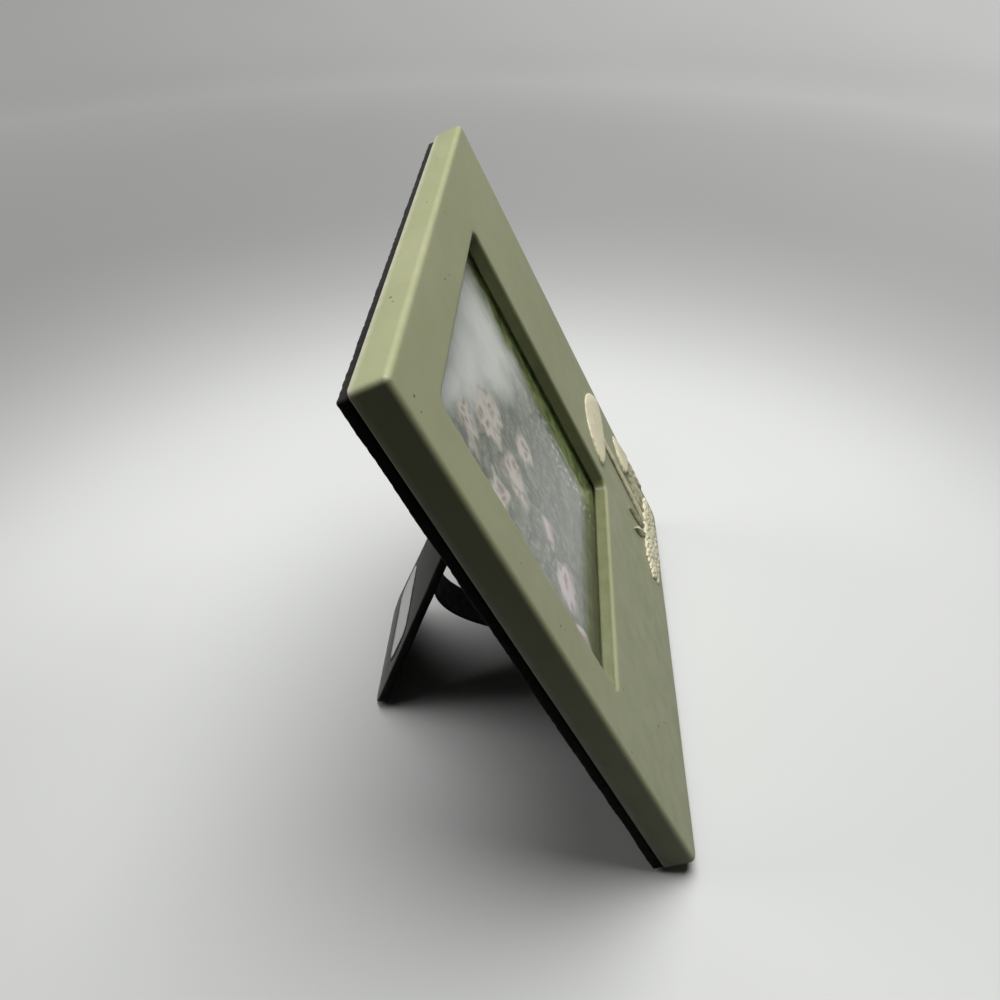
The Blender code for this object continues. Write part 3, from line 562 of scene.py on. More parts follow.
def garden_print():
    """Glossy print of a plain garden, softly painted: pale sky over blossoms and a shady bed."""
    look = Look("photo_paper_look")
    swirls = look.node("TexNoise", {"Vector": look.place, "Scale": 1 / SWIRL_SIZE, "Detail": 3.0})
    bend = look.vector("SUBTRACT", swirls.outputs["Color"], (0.5, 0.5, 0.5))
    bend = look.vector("MULTIPLY", bend, (SWIRL_REACH, SWIRL_REACH, SWIRL_REACH))
    swirl = look.vector("ADD", look.place, bend)
    x, _, z = look.axes(swirl)
    drift = look.noise(15 * MM, 3.0, place=swirl)
    leaves = look.noise(5 * MM, 5.0, 0.62, swirl)
    strokes = look.noise(2.2 * MM, 3.0, 0.55, look.vector("MULTIPLY", swirl, (1.0, 1.0, 0.7)))
    petals = look.cells(3.4 * MM, swirl)

    def layer(under, share, dark, light, by, low=0.36, high=0.64):
        return look.mix(share, under, look.mix(look.stretch(by, low, high), dark, light))

    def spots(under, blossoms, dark, light):
        for centre_x, centre_z, radius in blossoms:
            away = look.distance(swirl, (centre_x * MM, BLOSSOM_Y, centre_z * MM))
            near = look.stretch(away, radius * 0.55 * MM, radius * MM, 0.92, 0.0)
            under = layer(under, near, dark, light, petals, 0.15, 0.62)
        return under

    picture = look.mix(look.stretch(leaves, 0.36, 0.66), (0.030, 0.038, 0.018), (0.150, 0.165, 0.095))
    lower = look.stretch(z, 54 * MM, 90 * MM, 0.05, 0.50)
    picture = look.tint(picture, look.stretch(strokes, 0.50, 0.64), lower, (0.400, 0.420, 0.370))
    sky_line = look.maths("ADD", z, look.times(x, 0.55))
    sky = look.stretch(sky_line, 108 * MM, 124 * MM)
    picture = layer(picture, sky, (0.740, 0.755, 0.705), (0.960, 0.960, 0.905), drift)
    far_side = look.times(look.stretch(x, 2 * MM, 12 * MM), look.stretch(z, 112 * MM, 60 * MM, 0.40, 1.0))
    spray = look.stretch(look.cells(2.8 * MM, swirl), 0.20, 0.42, 1.0, 0.0)
    picture = look.tint(picture, spray, far_side, (0.760, 0.770, 0.700))
    bush = look.stretch(look.maths("SUBTRACT", x, look.times(z, 0.10)), 7 * MM, 14 * MM)
    picture = layer(picture, bush, (0.075, 0.115, 0.030), (0.400, 0.480, 0.190), leaves)
    picture = spots(picture, DUSTY_BLOSSOMS, (0.330, 0.235, 0.195), (0.800, 0.690, 0.610))
    picture = spots(picture, PINK_BLOSSOMS, (0.420, 0.220, 0.300), (0.860, 0.690, 0.740))
    lean = look.maths("ADD", x, look.times(z, 0.34))
    for offset in (5 * MM, 16 * MM):
        stem = look.maths("ABSOLUTE", look.maths("SUBTRACT", lean, offset))
        vine = look.stretch(stem, 0.2 * MM, 0.8 * MM, 0.7, 0.0)
        vine = look.times(vine, look.stretch(z, 84 * MM, 92 * MM))
        picture = look.tint(picture, vine, look.stretch(z, 128 * MM, 118 * MM), (0.200, 0.230, 0.140))
    foot = look.stretch(look.axes(look.place)[2], 54 * MM, 64 * MM, 0.65, 0.0)
    return look.finish({
        "Base Color": look.mix(foot, picture, (0.020, 0.024, 0.012)),
        "Roughness": look.patches(10 * MM, to_low=0.30, to_high=0.42),
        "Specular IOR Level": 0.3,
        "Normal": look.bump(look.noise(0.6 * MM), 0.006 * MM, 0.4),
    })


SAGE = sage_glaze()
CREAM = relief_glaze("cream_glaze_look", (0.830, 0.795, 0.570), (0.800, 0.740, 0.530), (0.450, 0.450, 0.270))
LEAF = relief_glaze("leaf_glaze_look", (0.640, 0.620, 0.400), (0.740, 0.690, 0.480), (0.430, 0.440, 0.255))
VELVET = velvet("black_velvet_look", (0.0085, 0.0080, 0.0072), (0.36, 0.35, 0.32), 0.42)
LEG_VELVET = velvet("leg_velvet_look", (0.0105, 0.0100, 0.0090), (0.40, 0.40, 0.38), 0.85)
RIBBON = ribbon_cloth()
NICKEL = metal("nickel_steel_look", (0.520, 0.500, 0.455), (0.360, 0.345, 0.310), 0.34, 0.52, 1.2 * MM)
BLACK_STEEL = metal("black_steel_look", (0.060, 0.060, 0.064), (0.030, 0.029, 0.028), 0.34, 0.52, 1.6 * MM)
GLASS = clear_glass()
CARD = card()
STICKER = sticker_paper()
PRINT = garden_print()


# Ceramic slab

SIDE_STEPS = 44
CORNER_STEPS = 9
FACE_STEPS = 16
EDGE_STEPS = 9
WINDOW_EDGE_STEPS = 7
BACK_EDGE_STEPS = 4
WALL_STEPS = 5
GLAZE_SWELL = 0.16 * MM
GLAZE_SWELL_SIZE = 26 * MM
GLAZE_RIPPLE = 0.05 * MM
GLAZE_RIPPLE_SIZE = 8 * MM
# Share of the pooled glaze and painted recess shade on the window's walls other than the bottom one.
SIDE_POOL_AND_SHADE = 0.76


def frame_outline(inset):
    low = Vector((-FRAME_WIDTH / 2 + inset, inset))
    high = Vector((FRAME_WIDTH / 2 - inset, FRAME_HEIGHT - inset))
    low_radius = max(BOTTOM_CORNER_RADIUS - inset, CORNER_LEAST)
    high_radius = max(TOP_CORNER_RADIUS - inset, CORNER_LEAST)
    return rounded_box(low, high, low_radius, high_radius, SIDE_STEPS, CORNER_STEPS)


def window_outline(outset):
    grow = Vector((outset, outset))
    radius = WINDOW_CORNER_RADIUS + outset
    low, high = WINDOW_LOW - grow, WINDOW_HIGH + grow
    return rounded_box(low, high, radius, radius, SIDE_STEPS, CORNER_STEPS)


def make_ceramic():
    front = -CERAMIC_THICKNESS
    lip = front + LIP_DEPTH
    loops, edges = [], []

    def add(outline, y, edge=0.0):
        loops.append(loop_at(outline, y))
        edges.append(edge)

    for angle in quarter(BACK_EDGE_STEPS):
        add(frame_outline(BACK_EDGE_RADIUS * (1 - sin(angle))),
            -BACK_EDGE_RADIUS * (1 - cos(angle)))
    back_rows = len(loops)
    wall_end = front + FRONT_EDGE_RADIUS
    for step in range(1, WALL_STEPS):
        add(frame_outline(0.0), -BACK_EDGE_RADIUS + (wall_end + BACK_EDGE_RADIUS) * step / WALL_STEPS)
    for angle in quarter(EDGE_STEPS):
        add(frame_outline(FRONT_EDGE_RADIUS * (1 - cos(angle))),
            front + FRONT_EDGE_RADIUS * (1 - sin(angle)), sin(2 * angle) ** 2)
    outer = loops[-1]
    face_end = len(loops) + FACE_STEPS + 1
    inner = loop_at(window_outline(WINDOW_DRAFT + WINDOW_EDGE_RADIUS), front)
    for step in range(1, FACE_STEPS):
        loops.append([a.lerp(b, step / FACE_STEPS) for a, b in zip(outer, inner)])
        edges.append(0.0)
    for angle in quarter(WINDOW_EDGE_STEPS):
        add(window_outline(WINDOW_DRAFT + WINDOW_EDGE_RADIUS * (1 - sin(angle))),
            front + WINDOW_EDGE_RADIUS * (1 - cos(angle)), 0.4 * sin(2 * angle) ** 2)
    wall_start = front + WINDOW_EDGE_RADIUS
    for step in range(1, WALL_STEPS + 1):
        share = step / WALL_STEPS
        add(window_outline(WINDOW_DRAFT * (1 - share)), wall_start + (lip - wall_start) * share)
    window_size = WINDOW_HIGH - WINDOW_LOW
    grow = (Vector((REBATE_SIDE, REBATE_SIDE)) - window_size) / 2
    rebate = rounded_box(WINDOW_LOW - grow, WINDOW_HIGH + grow, REBATE_CLEARANCE, REBATE_CLEARANCE,
                         SIDE_STEPS, CORNER_STEPS)
    for y, edge in ((lip, 0.2), (lip / 2, 0.1), (0.0, 0.4)):
        add(rebate, y, edge)
    normals = ridge_normals(loops)
    places, values, pool_and_shade_levels, bares = [], [], [], []
    for row, loop in enumerate(loops):
        for index, place in enumerate(loop):
            swell = 0.5 + 0.5 * wave(place, GLAZE_SWELL_SIZE, 3.1)
            ripple = 0.5 + 0.5 * wave(place, GLAZE_RIPPLE_SIZE, 8.4)
            sink = GLAZE_SWELL * swell + GLAZE_RIPPLE * ripple
            if place.y > lip - 0.1 * MM:
                sink = 0.0
            places.append(place + normals[row][index] * sink)
            values.append(edges[row])
            # Pooled glaze and painted recess shade: full at the bottom of the window, less elsewhere in it,
            # growing from within its rounding.
            fill = 1.0 if place.z < WINDOW_LOW.y + WINDOW_CORNER_RADIUS / 2 else SIDE_POOL_AND_SHADE
            pool_and_shade_levels.append(fill * min(1.0, max(0.0, (row - face_end) / 5)))
            bares.append(1.0 if row < back_rows else 0.0)
    faces = flipped(ring_faces(len(loops), len(loops[0]), True))
    return new_piece("ceramic_slab", places, faces, SAGE, FRAME_MATRIX, "frame",
                     ("ceramic_frame",), {"edge": values, "pool_and_shade": pool_and_shade_levels, "bare": bares})


make_ceramic()


# Toadstool ornament

RELIEF_SINK = 0.35 * MM
SPRIG_FOOT = 0.7 * MM
CAP_POINT = 1.3
GILL_COUNT = 40
CAP_STEPS = 132
CAP_RINGS = 26
STEM_ROWS = 40
STEM_ACROSS = 16
LEAF_ROWS = 44
LEAF_ACROSS = 18
MOUND_STEPS = 280
MOUND_RINGS = 40
CAP_RELIEF = 1.1 * MM
STEM_RELIEF = 0.8 * MM
LEAF_RELIEF = 0.9 * MM
# Leaves given the pale glaze as painted light, so that their shaded flanks look lit.
LEAVES_PAINTED_LIT = (5,)
MOUND_RELIEF = 1.2 * MM
MOUND_CENTRE = Vector((50.2 * MM, 11.2 * MM))
MOUND_HALF = Vector((23.5 * MM, 6.8 * MM))
MOUND_SQUARENESS = 0.75
MOUND_LUMPS = 0.04
MOUND_RISE = 1.16
ROOT_REACH = 2.2 * MM
MOUND_LUMP_COUNT = 9
MOUND_RAGGED = 0.15
CRUMB_SIZE = 1.7 * MM
FLAKE_ANGLE = radians(122.0)
FLAKE_WIDTH = 1.9 * MM
FLAKE_LENGTH = 3.3 * MM

# Tip, root and width of each leaf, in millimetres from the front's lower right corner
LEAVES = (
    ((-40.5, 28.9), (-33.5, 19.7), 3.8),
    ((-34.3, 33.3), (-28.9, 20.1), 3.8),
    ((-17.7, 31.5), (-18.9, 19.7), 3.0),
    ((-13.7, 32.9), (-14.5, 19.7), 3.4),
    ((-3.9, 33.6), (-4.9, 19.7), 3.0),
)


def clamp(value, low=0.0, high=1.0):
    return min(high, max(low, value))


def dome_profile(share):
    """Height from 0 at the rim to 1 at the middle: a soft foot, then a quarter-round top."""
    return sqrt(max(0.0, 1 - (1 - share) ** 2.3))


def radial_piece(name, centre, outline, rings, height_at, finish, stands_for):
    """A low relief on the front face: rings of points that close in on a centre."""
    base = -CERAMIC_THICKNESS
    count = len(outline)
    places, hollows = [], []
    for point in outline:
        places.append(Vector((point.x, base + RELIEF_SINK, point.y)))
        hollows.append(1.0)
    for ring in range(rings):
        share = ring / rings
        for index, point in enumerate(outline):
            spot = point.lerp(centre, share)
            height, hollow = height_at(spot, share, index / count)
            places.append(Vector((spot.x, base - height, spot.y)))
            hollows.append(hollow)
    height, hollow = height_at(centre, 1.0, 0.0)
    places.append(Vector((centre.x, base - height, centre.y)))
    hollows.append(hollow)
    faces = ring_faces(rings + 1, count, False)
    last = rings * count
    for index in range(count):
        faces.append((last + index, last + (index + 1) % count, last + count))
    faces.append(tuple(reversed(range(count))))
    return new_piece(name, places, faces, finish, FRAME_MATRIX, "frame", (stands_for,),
                     {"hollow": hollows})


def make_cap(name, centre, size, tilt, skew, seed):
    """Smooth cap, proudest at its rolled brim, that slopes back to the face at its crown."""
    width, crown, sag = size
    turn = Matrix.Rotation(tilt, 2)
    outline = []
    for step in range(CAP_STEPS):
        angle = 2 * pi * step / CAP_STEPS
        across, up = cos(angle), sin(angle)
        if up >= 0.0:
            across += skew * up ** 2
            rise = crown * up ** CAP_POINT
        else:
            rise = sag * up
        outline.append(centre + turn @ Vector((across * width / 2, rise)))
    middle = centre + turn @ Vector((skew * width / 8, (crown - sag) * 0.32))
    reach = CAP_RELIEF + SPRIG_FOOT

    def height_at(spot, share, round_share):
        local = turn.inverted() @ (spot - centre)
        rel = clamp((local.y + sag) / (crown + sag))
        below = clamp((0.8 * MM - local.y) / sag)
        gills = sin(2 * pi * GILL_COUNT * round_share) * below * clamp(1 - share * 4)
        soft = face_wave(spot, 5.0 * MM, seed, seed * MM)
        fine = face_wave(spot, 1.1 * MM, seed, seed * MM)
        rise = dome_profile(clamp(share * (2.4 - 1.5 * rel)))
        brim = exp(-((share - 0.20) / 0.08) ** 2) * (1 - rel)
        height = 0.14 - 0.11 * rel + rise * (0.80 - 0.50 * rel ** 1.3) + 0.08 * brim + 0.05 * gills
        height += 0.07 * soft * rise + 0.03 * fine
        hollow = 0.12 + 0.45 * clamp(1 - share * 14) + 0.18 * gills - fine * 0.20
        return clamp(height, 0.03) * reach, hollow

    return radial_piece("toadstool_" + name + "_top", middle, outline, CAP_RINGS, height_at, CREAM,
                        "toadstool_cap_" + name)


def strip_piece(name, line, half_widths, across_steps, height_at, finish, stands_for):
    """A low relief that runs along a line of points, with a half width at each."""
    base = -CERAMIC_THICKNESS
    rows = len(line)
    places, hollows = [], []
    for row, point in enumerate(line):
        ahead = line[min(row + 1, rows - 1)] - line[max(row - 1, 0)]
        side = Vector((ahead.y, -ahead.x)).normalized()
        for step in range(across_steps + 1):
            across = -1 + 2 * step / across_steps
            spot = point + side * half_widths[row] * across
            rim = step in (0, across_steps) or row in (0, rows - 1)
            height, hollow = height_at(spot, row / (rows - 1), across)
            places.append(Vector((spot.x, base + RELIEF_SINK if rim else base - height, spot.y)))
            hollows.append(1.0 if rim else hollow)
    columns = across_steps + 1
    faces = []
    for row in range(rows - 1):
        for step in range(across_steps):
            first = row * columns + step
            faces.append((first, first + columns, first + columns + 1, first + 1))
    faces.append(tuple(grid_rim(rows, columns)))
    return new_piece(name, places, flipped(faces), finish, FRAME_MATRIX, "frame", (stands_for,),
                     {"hollow": hollows})


def make_stem(name, x, width, flare, top_z, seed):
    foot_z = MOUND_CENTRE.y + MOUND_HALF.y - ROOT_REACH / 2
    line, halves = [], []
    for row in range(STEM_ROWS + 1):
        share = row / STEM_ROWS
        sway = 0.2 * MM * sin(3.0 * share + seed)
        line.append(Vector((x + sway, foot_z + (top_z - foot_z) * share)))
        end = clamp(min(share, 1 - share) * 12)
        half = width / 2 + flare * (1 - share) ** 2.5
        wobble = 0.10 * MM * wave(Vector((0, share, seed)), 0.1, seed)
        halves.append(half * (0.55 + 0.45 * sqrt(end)) + wobble)
    reach = STEM_RELIEF + SPRIG_FOOT

    def height_at(spot, share, across):
        round_top = (1 - across * across * 0.96) ** 0.8
        end = clamp(min(share * 9, (1 - share) * 14))
        grooves = 0.05 * sin(12 * across + 5 * share + seed)
        ring = 0.12 * exp(-((share - 0.74) / 0.035) ** 2)
        lumps = 0.10 * face_wave(spot, 1.8 * MM, seed)
        height = (0.06 + 0.58 * round_top + grooves + lumps + ring) * (0.45 + 0.55 * end)
        hollow = 0.14 + 0.45 * max(0.0, abs(across) - 0.6) / 0.4 - 1.2 * lumps
        return clamp(height, 0.05) * reach, hollow

    return strip_piece("toadstool_" + name + "_stalk", line, halves, STEM_ACROSS, height_at, CREAM,
                       "toadstool_stem_" + name)


def make_leaf(number, tip, root, width):
    corner = Vector((FRAME_WIDTH / 2, 0.0))
    tip = corner + Vector(tip) * MM
    root = corner + Vector(root) * MM
    root += (root - tip).normalized() * ROOT_REACH
    line, halves = [], []
    for row in range(LEAF_ROWS + 1):
        share = row / LEAF_ROWS
        line.append(tip.lerp(root, share))
        wobble = 0.97 + 0.06 * sin(9 * share * pi + number)
        half = width * MM / 2 * sin(pi * clamp(share, 0.001, 0.999))
        halves.append(max(0.06 * MM, half * wobble))
    reach = LEAF_RELIEF + SPRIG_FOOT

    def height_at(spot, share, across):
        body = max(0.0, 1 - across * across) ** 0.8
        end = clamp(min(share, 1 - share) * 7)
        rib = exp(-(across / 0.14) ** 2)
        veins = sin(30 * (share - 0.22 * abs(across)))
        lumps = 0.12 * face_wave(spot, 1.6 * MM, number)
        height = (0.07 + 0.52 * body + 0.12 * rib + 0.07 * veins * body + lumps) * (0.35 + 0.65 * end)
        hollow = 0.34 - 0.26 * rib - 0.16 * veins + 0.4 * max(0.0, abs(across) - 0.7)
        return clamp(height, 0.05) * reach, hollow

    # The listed leaves take the pale glaze: painted light on a flank that lies in shade.
    look = CREAM if number in LEAVES_PAINTED_LIT else LEAF
    return strip_piece("toadstool_blade_%d" % number, line, halves, LEAF_ACROSS, height_at, look,
                       "toadstool_leaf_%d" % number)


def make_mound():
    """Ground of small overlapping flakes, like moss and litter, with a ragged edge."""
    outline = []
    for step in range(MOUND_STEPS):
        angle = 2 * pi * step / MOUND_STEPS
        lump = 1 + MOUND_LUMPS * sin(MOUND_LUMP_COUNT * angle)
        across = copysign(abs(cos(angle)) ** MOUND_SQUARENESS, cos(angle)) * lump
        up = copysign(abs(sin(angle)) ** MOUND_SQUARENESS, sin(angle)) * lump
        rise = MOUND_RISE if up > 0 else 1.0
        spot = Vector((across * MOUND_HALF.x, up * MOUND_HALF.y * rise))
        crumb = 0.5 + 0.5 * face_wave(spot, CRUMB_SIZE, 5.0)
        outline.append(MOUND_CENTRE + spot * (1 - MOUND_RAGGED * crumb))
    reach = MOUND_RELIEF + SPRIG_FOOT
    along = Vector((cos(FLAKE_ANGLE), sin(FLAKE_ANGLE)))
    aside = Vector((along.y, -along.x))

    def height_at(spot, share, _):
        dome = dome_profile(clamp(share * 1.7))
        bend = face_wave(spot, 4.0 * MM, 9.0) * 0.80
        cell = Vector((spot.dot(aside) / FLAKE_WIDTH + bend, 0.4, spot.dot(along) / FLAKE_LENGTH))
        near, centres = noise.voronoi(cell)
        flake = max(0.0, 1 - (near[0] / 0.66) ** 2)
        gap = clamp((near[1] - near[0]) / 0.24)
        droop = clamp(0.5 - (cell.z - centres[0].z))
        lumps = face_wave(spot, 4.2 * MM, 2.0)
        height = 0.06 + 0.50 * dome + 0.28 * (0.45 * flake + 0.75 * droop) * (0.3 + 0.7 * dome) * gap
        height += 0.17 * lumps
        hollow = 0.62 - 0.60 * gap * (0.55 + 0.45 * flake)
        return clamp(height, 0.03) * reach, hollow

    return radial_piece("toadstool_ground", MOUND_CENTRE, outline, MOUND_RINGS, height_at, CREAM,
                        "toadstool_mound")


LARGE_CAP = (35.5 * MM, 10.5 * MM, 2.8 * MM)
SMALL_CAP = (12.0 * MM, 10.0 * MM, 1.6 * MM)
LARGE_CAP_CENTRE = Vector((53.6, 61.5)) * MM
SMALL_CAP_CENTRE = Vector((66.3, 35.8)) * MM
make_cap("large", LARGE_CAP_CENTRE, LARGE_CAP, tilt=radians(9.0), skew=0.0, seed=1.0)
make_cap("small", SMALL_CAP_CENTRE, SMALL_CAP, tilt=0.0, skew=0.7, seed=2.0)
make_stem("large", x=53.3 * MM, width=3.8 * MM, flare=0.8 * MM, top_z=59.6 * MM, seed=1.0)
make_stem("small", x=67.1 * MM, width=2.6 * MM, flare=0.4 * MM, top_z=34.8 * MM, seed=2.5)
for leaf_number, (leaf_tip, leaf_root, leaf_width) in enumerate(LEAVES, 1):
    make_leaf(leaf_number, leaf_tip, leaf_root, leaf_width)
make_mound()


# Boards

BOARD_SIDE_STEPS = 150
BOARD_CORNER_STEPS = 3
BOARD_CORNER_RADIUS = 0.8 * MM
BOARD_EDGE_RADIUS = 0.45 * MM
EDGE_WAVE = 0.45 * MM
EDGE_WAVE_SIZE = 8.0 * MM
EDGE_FRAY = 0.30 * MM
EDGE_FRAY_SIZE = 1.6 * MM
EDGE_TURN = 8.0 * MM
CALM_EDGE = 0.30
BOARD_RINGS = 6

# How ragged each edge is; less than 0 at the rim's opening, where the cut faces the other way
RIM_RAGGED = 1.0
OPENING_RAGGED = -0.3
PANEL_RAGGED = 0.6
LEG_RAGGED = 0.8

LEG_SIDE_STEPS = 90
LEG_CORNER_STEPS = 8
LABEL_SIDE_STEPS = 30
LABEL_CORNER_STEPS = 8
LABEL_RINGS = 14
LABEL_THICKNESS = 0.12 * MM


def ragged(outline, centre, y, amount):
    """An outline whose cut edge wanders, never outside the line itself and least at the top."""
    shaped = []
    top = max(point.y for point in outline) - BOARD_EDGE_RADIUS
    for point in outline:
        place = Vector((point.x, y, point.y))
        wander = clamp(0.5 + 0.9 * wave(place, EDGE_WAVE_SIZE, 4.0))
        fray = clamp(0.5 + 0.9 * wave(place, EDGE_FRAY_SIZE, 6.0))
        away = Vector((clamp((point.x - centre.x) / EDGE_TURN, -1.0),
                       clamp((point.y - centre.y) / EDGE_TURN, -1.0)))
        inset = EDGE_WAVE * wander * (CALM_EDGE if point.y > top else 1.0) + EDGE_FRAY * fray
        shaped.append(point - away * inset * amount)
    return shaped


def board_sections(front, back):
    """(share of the edge radius to pull in, Y) through a board's rounded edge."""
    sections = []
    for angle in quarter(3):
        sections.append((1 - sin(angle), front + BOARD_EDGE_RADIUS * (1 - cos(angle))))
    sections.append((0.0, (front + back) / 2))
    for angle in reversed(quarter(3)):
        sections.append((1 - sin(angle), back - BOARD_EDGE_RADIUS * (1 - cos(angle))))
    return sections


def box_outline(low, high, inset):
    shrink = Vector((inset, inset))
    low, high = low + shrink, high - shrink
    return rounded_box(low, high, BOARD_CORNER_RADIUS, BOARD_CORNER_RADIUS,
                       BOARD_SIDE_STEPS, BOARD_CORNER_STEPS)


def make_rim():
    low = Vector((-FRAME_WIDTH / 2, BOARD_LOW))
    high = Vector((FRAME_WIDTH / 2, BOARD_HIGH))
    centre = (low + high) / 2
    loops = []
    for share, y in board_sections(BOARD_FRONT, BOARD_BACK):
        outline = box_outline(low, high, share * BOARD_EDGE_RADIUS)
        loops.append(loop_at(ragged(outline, centre, y, RIM_RAGGED), y))
    for share, y in reversed(board_sections(BOARD_FRONT, BOARD_BACK)):
        outline = box_outline(low, high, RIM_WIDTH - share * BOARD_EDGE_RADIUS)
        loops.append(loop_at(ragged(outline, centre, y, OPENING_RAGGED), y))
    places = [place for loop in loops for place in loop]
    faces = ring_faces(len(loops), len(loops[0]), True)
    return new_piece("back_board_rim", places, faces, VELVET, FRAME_MATRIX, "frame",
                     ("back_rim",))


def filled_board(name, sections, centre, finish, matrix, body, stands_for):
    """A closed board from outlines at their Y, its two faces closed by shrinking rings."""
    first_outline, first_y = sections[0]
    last_outline, last_y = sections[-1]
    shares = [ring / (BOARD_RINGS + 1) for ring in range(1, BOARD_RINGS + 1)]
    loops = []
    for share in reversed(shares):
        loops.append(loop_at([point.lerp(centre, share) for point in first_outline], first_y))
    loops += [loop_at(outline, y) for outline, y in sections]
    for share in shares:
        loops.append(loop_at([point.lerp(centre, share) for point in last_outline], last_y))
    places = [place for loop in loops for place in loop]
    faces = capped_faces(len(loops), len(first_outline))
    return new_piece(name, places, faces, finish, matrix, body, (stands_for,))


def make_panel():
    inset = RIM_WIDTH + PANEL_CLEARANCE
    low = Vector((-FRAME_WIDTH / 2 + inset, BOARD_LOW + inset))
    high = Vector((FRAME_WIDTH / 2 - inset, BOARD_HIGH - inset))
    centre = (low + high) / 2
    sections = []
    for share, y in board_sections(BOARD_FRONT, BOARD_BACK):
        outline = box_outline(low, high, share * BOARD_EDGE_RADIUS)
        sections.append((ragged(outline, centre, y, PANEL_RAGGED), y))
    return filled_board("back_board_panel", sections, centre, VELVET, FRAME_MATRIX, "frame",
                        "back_panel")


def rounded_corners(corners, radii, side_steps, corner_steps):
    """Outline of an anticlockwise convex polygon, with points spread along its sides."""
    outline = []
    for index, corner in enumerate(corners):
        corner = Vector(corner)
        back = (Vector(corners[index - 1]) - corner).normalized()
        ahead = (Vector(corners[(index + 1) % len(corners)]) - corner).normalized()
        half = back.angle(ahead) / 2
        centre = corner + (back + ahead).normalized() * (radii[index] / sin(half))
        start = atan2(back.x, -back.y)
        bend = arc(centre, radii[index], start, start + pi - 2 * half, corner_steps)
        if outline:
            outline += spread(outline[-1], bend[0], side_steps)
        outline += bend
    return outline + spread(outline[-1], outline[0], side_steps)


def foot_level(y):
    """Z in the leg's coordinates where the floor cuts the leg, at this depth."""
    return (-PIN.z - y * sin(LEG_LEAN)) / cos(LEG_LEAN)


def leg_outline(y, inset):
    foot_z = foot_level(y) + inset
    top, foot = LEG_TOP_WIDTH / 2 - inset, LEG_FOOT_WIDTH / 2 - inset
    top_z = LEG_TOP - inset
    corners = ((foot, foot_z), (top, top_z), (-top, top_z), (-foot, foot_z))
    radii = (LEG_FOOT_RADIUS, LEG_TOP_RADIUS, LEG_TOP_RADIUS, LEG_FOOT_RADIUS)
    return rounded_corners(corners, radii, LEG_SIDE_STEPS, LEG_CORNER_STEPS)


def make_leg():
    centre = Vector((0.0, (foot_level(0.0) + LEG_TOP) / 2))
    sections = []
    for share, y in board_sections(LEG_INNER, LEG_OUTER):
        outline = leg_outline(y, share * BOARD_EDGE_RADIUS)
        shaped = []
        for plain, moved in zip(outline, ragged(outline, centre, y, LEG_RAGGED)):
            keep_foot = plain.y < foot_level(y) + 2 * MM
            shaped.append(Vector((moved.x, plain.y)) if keep_foot else moved)
        sections.append((shaped, y))
    return filled_board("easel_leg_board", sections, centre, LEG_VELVET, LEG_MATRIX, "leg",
                        "easel_leg")


def make_sticker():
    """Thin blank label whose lower corner has started to lift."""
    low, high = local_box("leg_sticker", LEG_MATRIX)
    corner_low, corner_high = Vector((low.x, low.z)), Vector((high.x, high.z))
    centre = (corner_low + corner_high) / 2
    outline = rounded_box(corner_low, corner_high, STICKER_RADIUS, STICKER_RADIUS,
                          LABEL_SIDE_STEPS, LABEL_CORNER_STEPS)
    seat, top = low.y, high.y
    upper = seat + LABEL_THICKNESS
    places, rims = [], []

    def lift(point):
        across = (point.x - centre.x) / (STICKER_WIDTH / 2)
        up = (point.y - centre.y) / (STICKER_HEIGHT / 2)
        peel = max(0.0, across - up - 1.0)
        return min(1.0, peel ** 2) * (top - seat - LABEL_THICKNESS)

    for y, rings in ((seat, range(LABEL_RINGS, -1, -1)), (upper, range(LABEL_RINGS + 1))):
        for ring in rings:
            for point in outline:
                spot = point.lerp(centre, ring / (LABEL_RINGS + 1))
                places.append(Vector((spot.x, y + lift(spot), spot.y)))
                rims.append(max(0.0, 1 - 3.0 * ring / LABEL_RINGS))
    faces = capped_faces(2 * LABEL_RINGS + 2, len(outline))
    return new_piece("leg_label", places, faces, STICKER, LEG_MATRIX, "leg", ("leg_sticker",),
                     {"rim": rims})


make_rim()
make_panel()
make_leg()
make_sticker()


# Print

PRINT_STEPS = 40
PRINT_BOW = 0.10 * MM
PRINT_THICKNESS = 0.2 * MM


def make_print():
    """Print with the slightest bow between its corners."""
    low, high = local_box("photo_print")
    places = []
    for layer in range(2):
        for row in range(PRINT_STEPS + 1):
            for column in range(PRINT_STEPS + 1):
                u, v = column / PRINT_STEPS, row / PRINT_STEPS
                swell = PRINT_BOW * sin(pi * u) * sin(pi * v)
                y = low.y + swell + layer * PRINT_THICKNESS
                places.append(Vector((low.x + (high.x - low.x) * u, y, low.z + (high.z - low.z) * v)))
    faces = sheet_faces(PRINT_STEPS + 1, PRINT_STEPS + 1)
    return new_piece("garden_picture", places, faces, PRINT, FRAME_MATRIX, "frame",
                     ("photo_print",))


make_print()


# Ribbon

RIBBON_STEPS = 60
RIBBON_END_STEPS = 8
RIBBON_ACROSS = 20
RIBBON_HALF = 0.20 * MM
RIBBON_CUP = 0.35 * MM


def leg_to_frame(y, z):
    """(Y, Z) in the frame's coordinates of a point in the leg's."""
    place = FRAME_MATRIX.inverted() @ (LEG_MATRIX @ Vector((0.0, y, z)))
    return Vector((place.y, place.z))


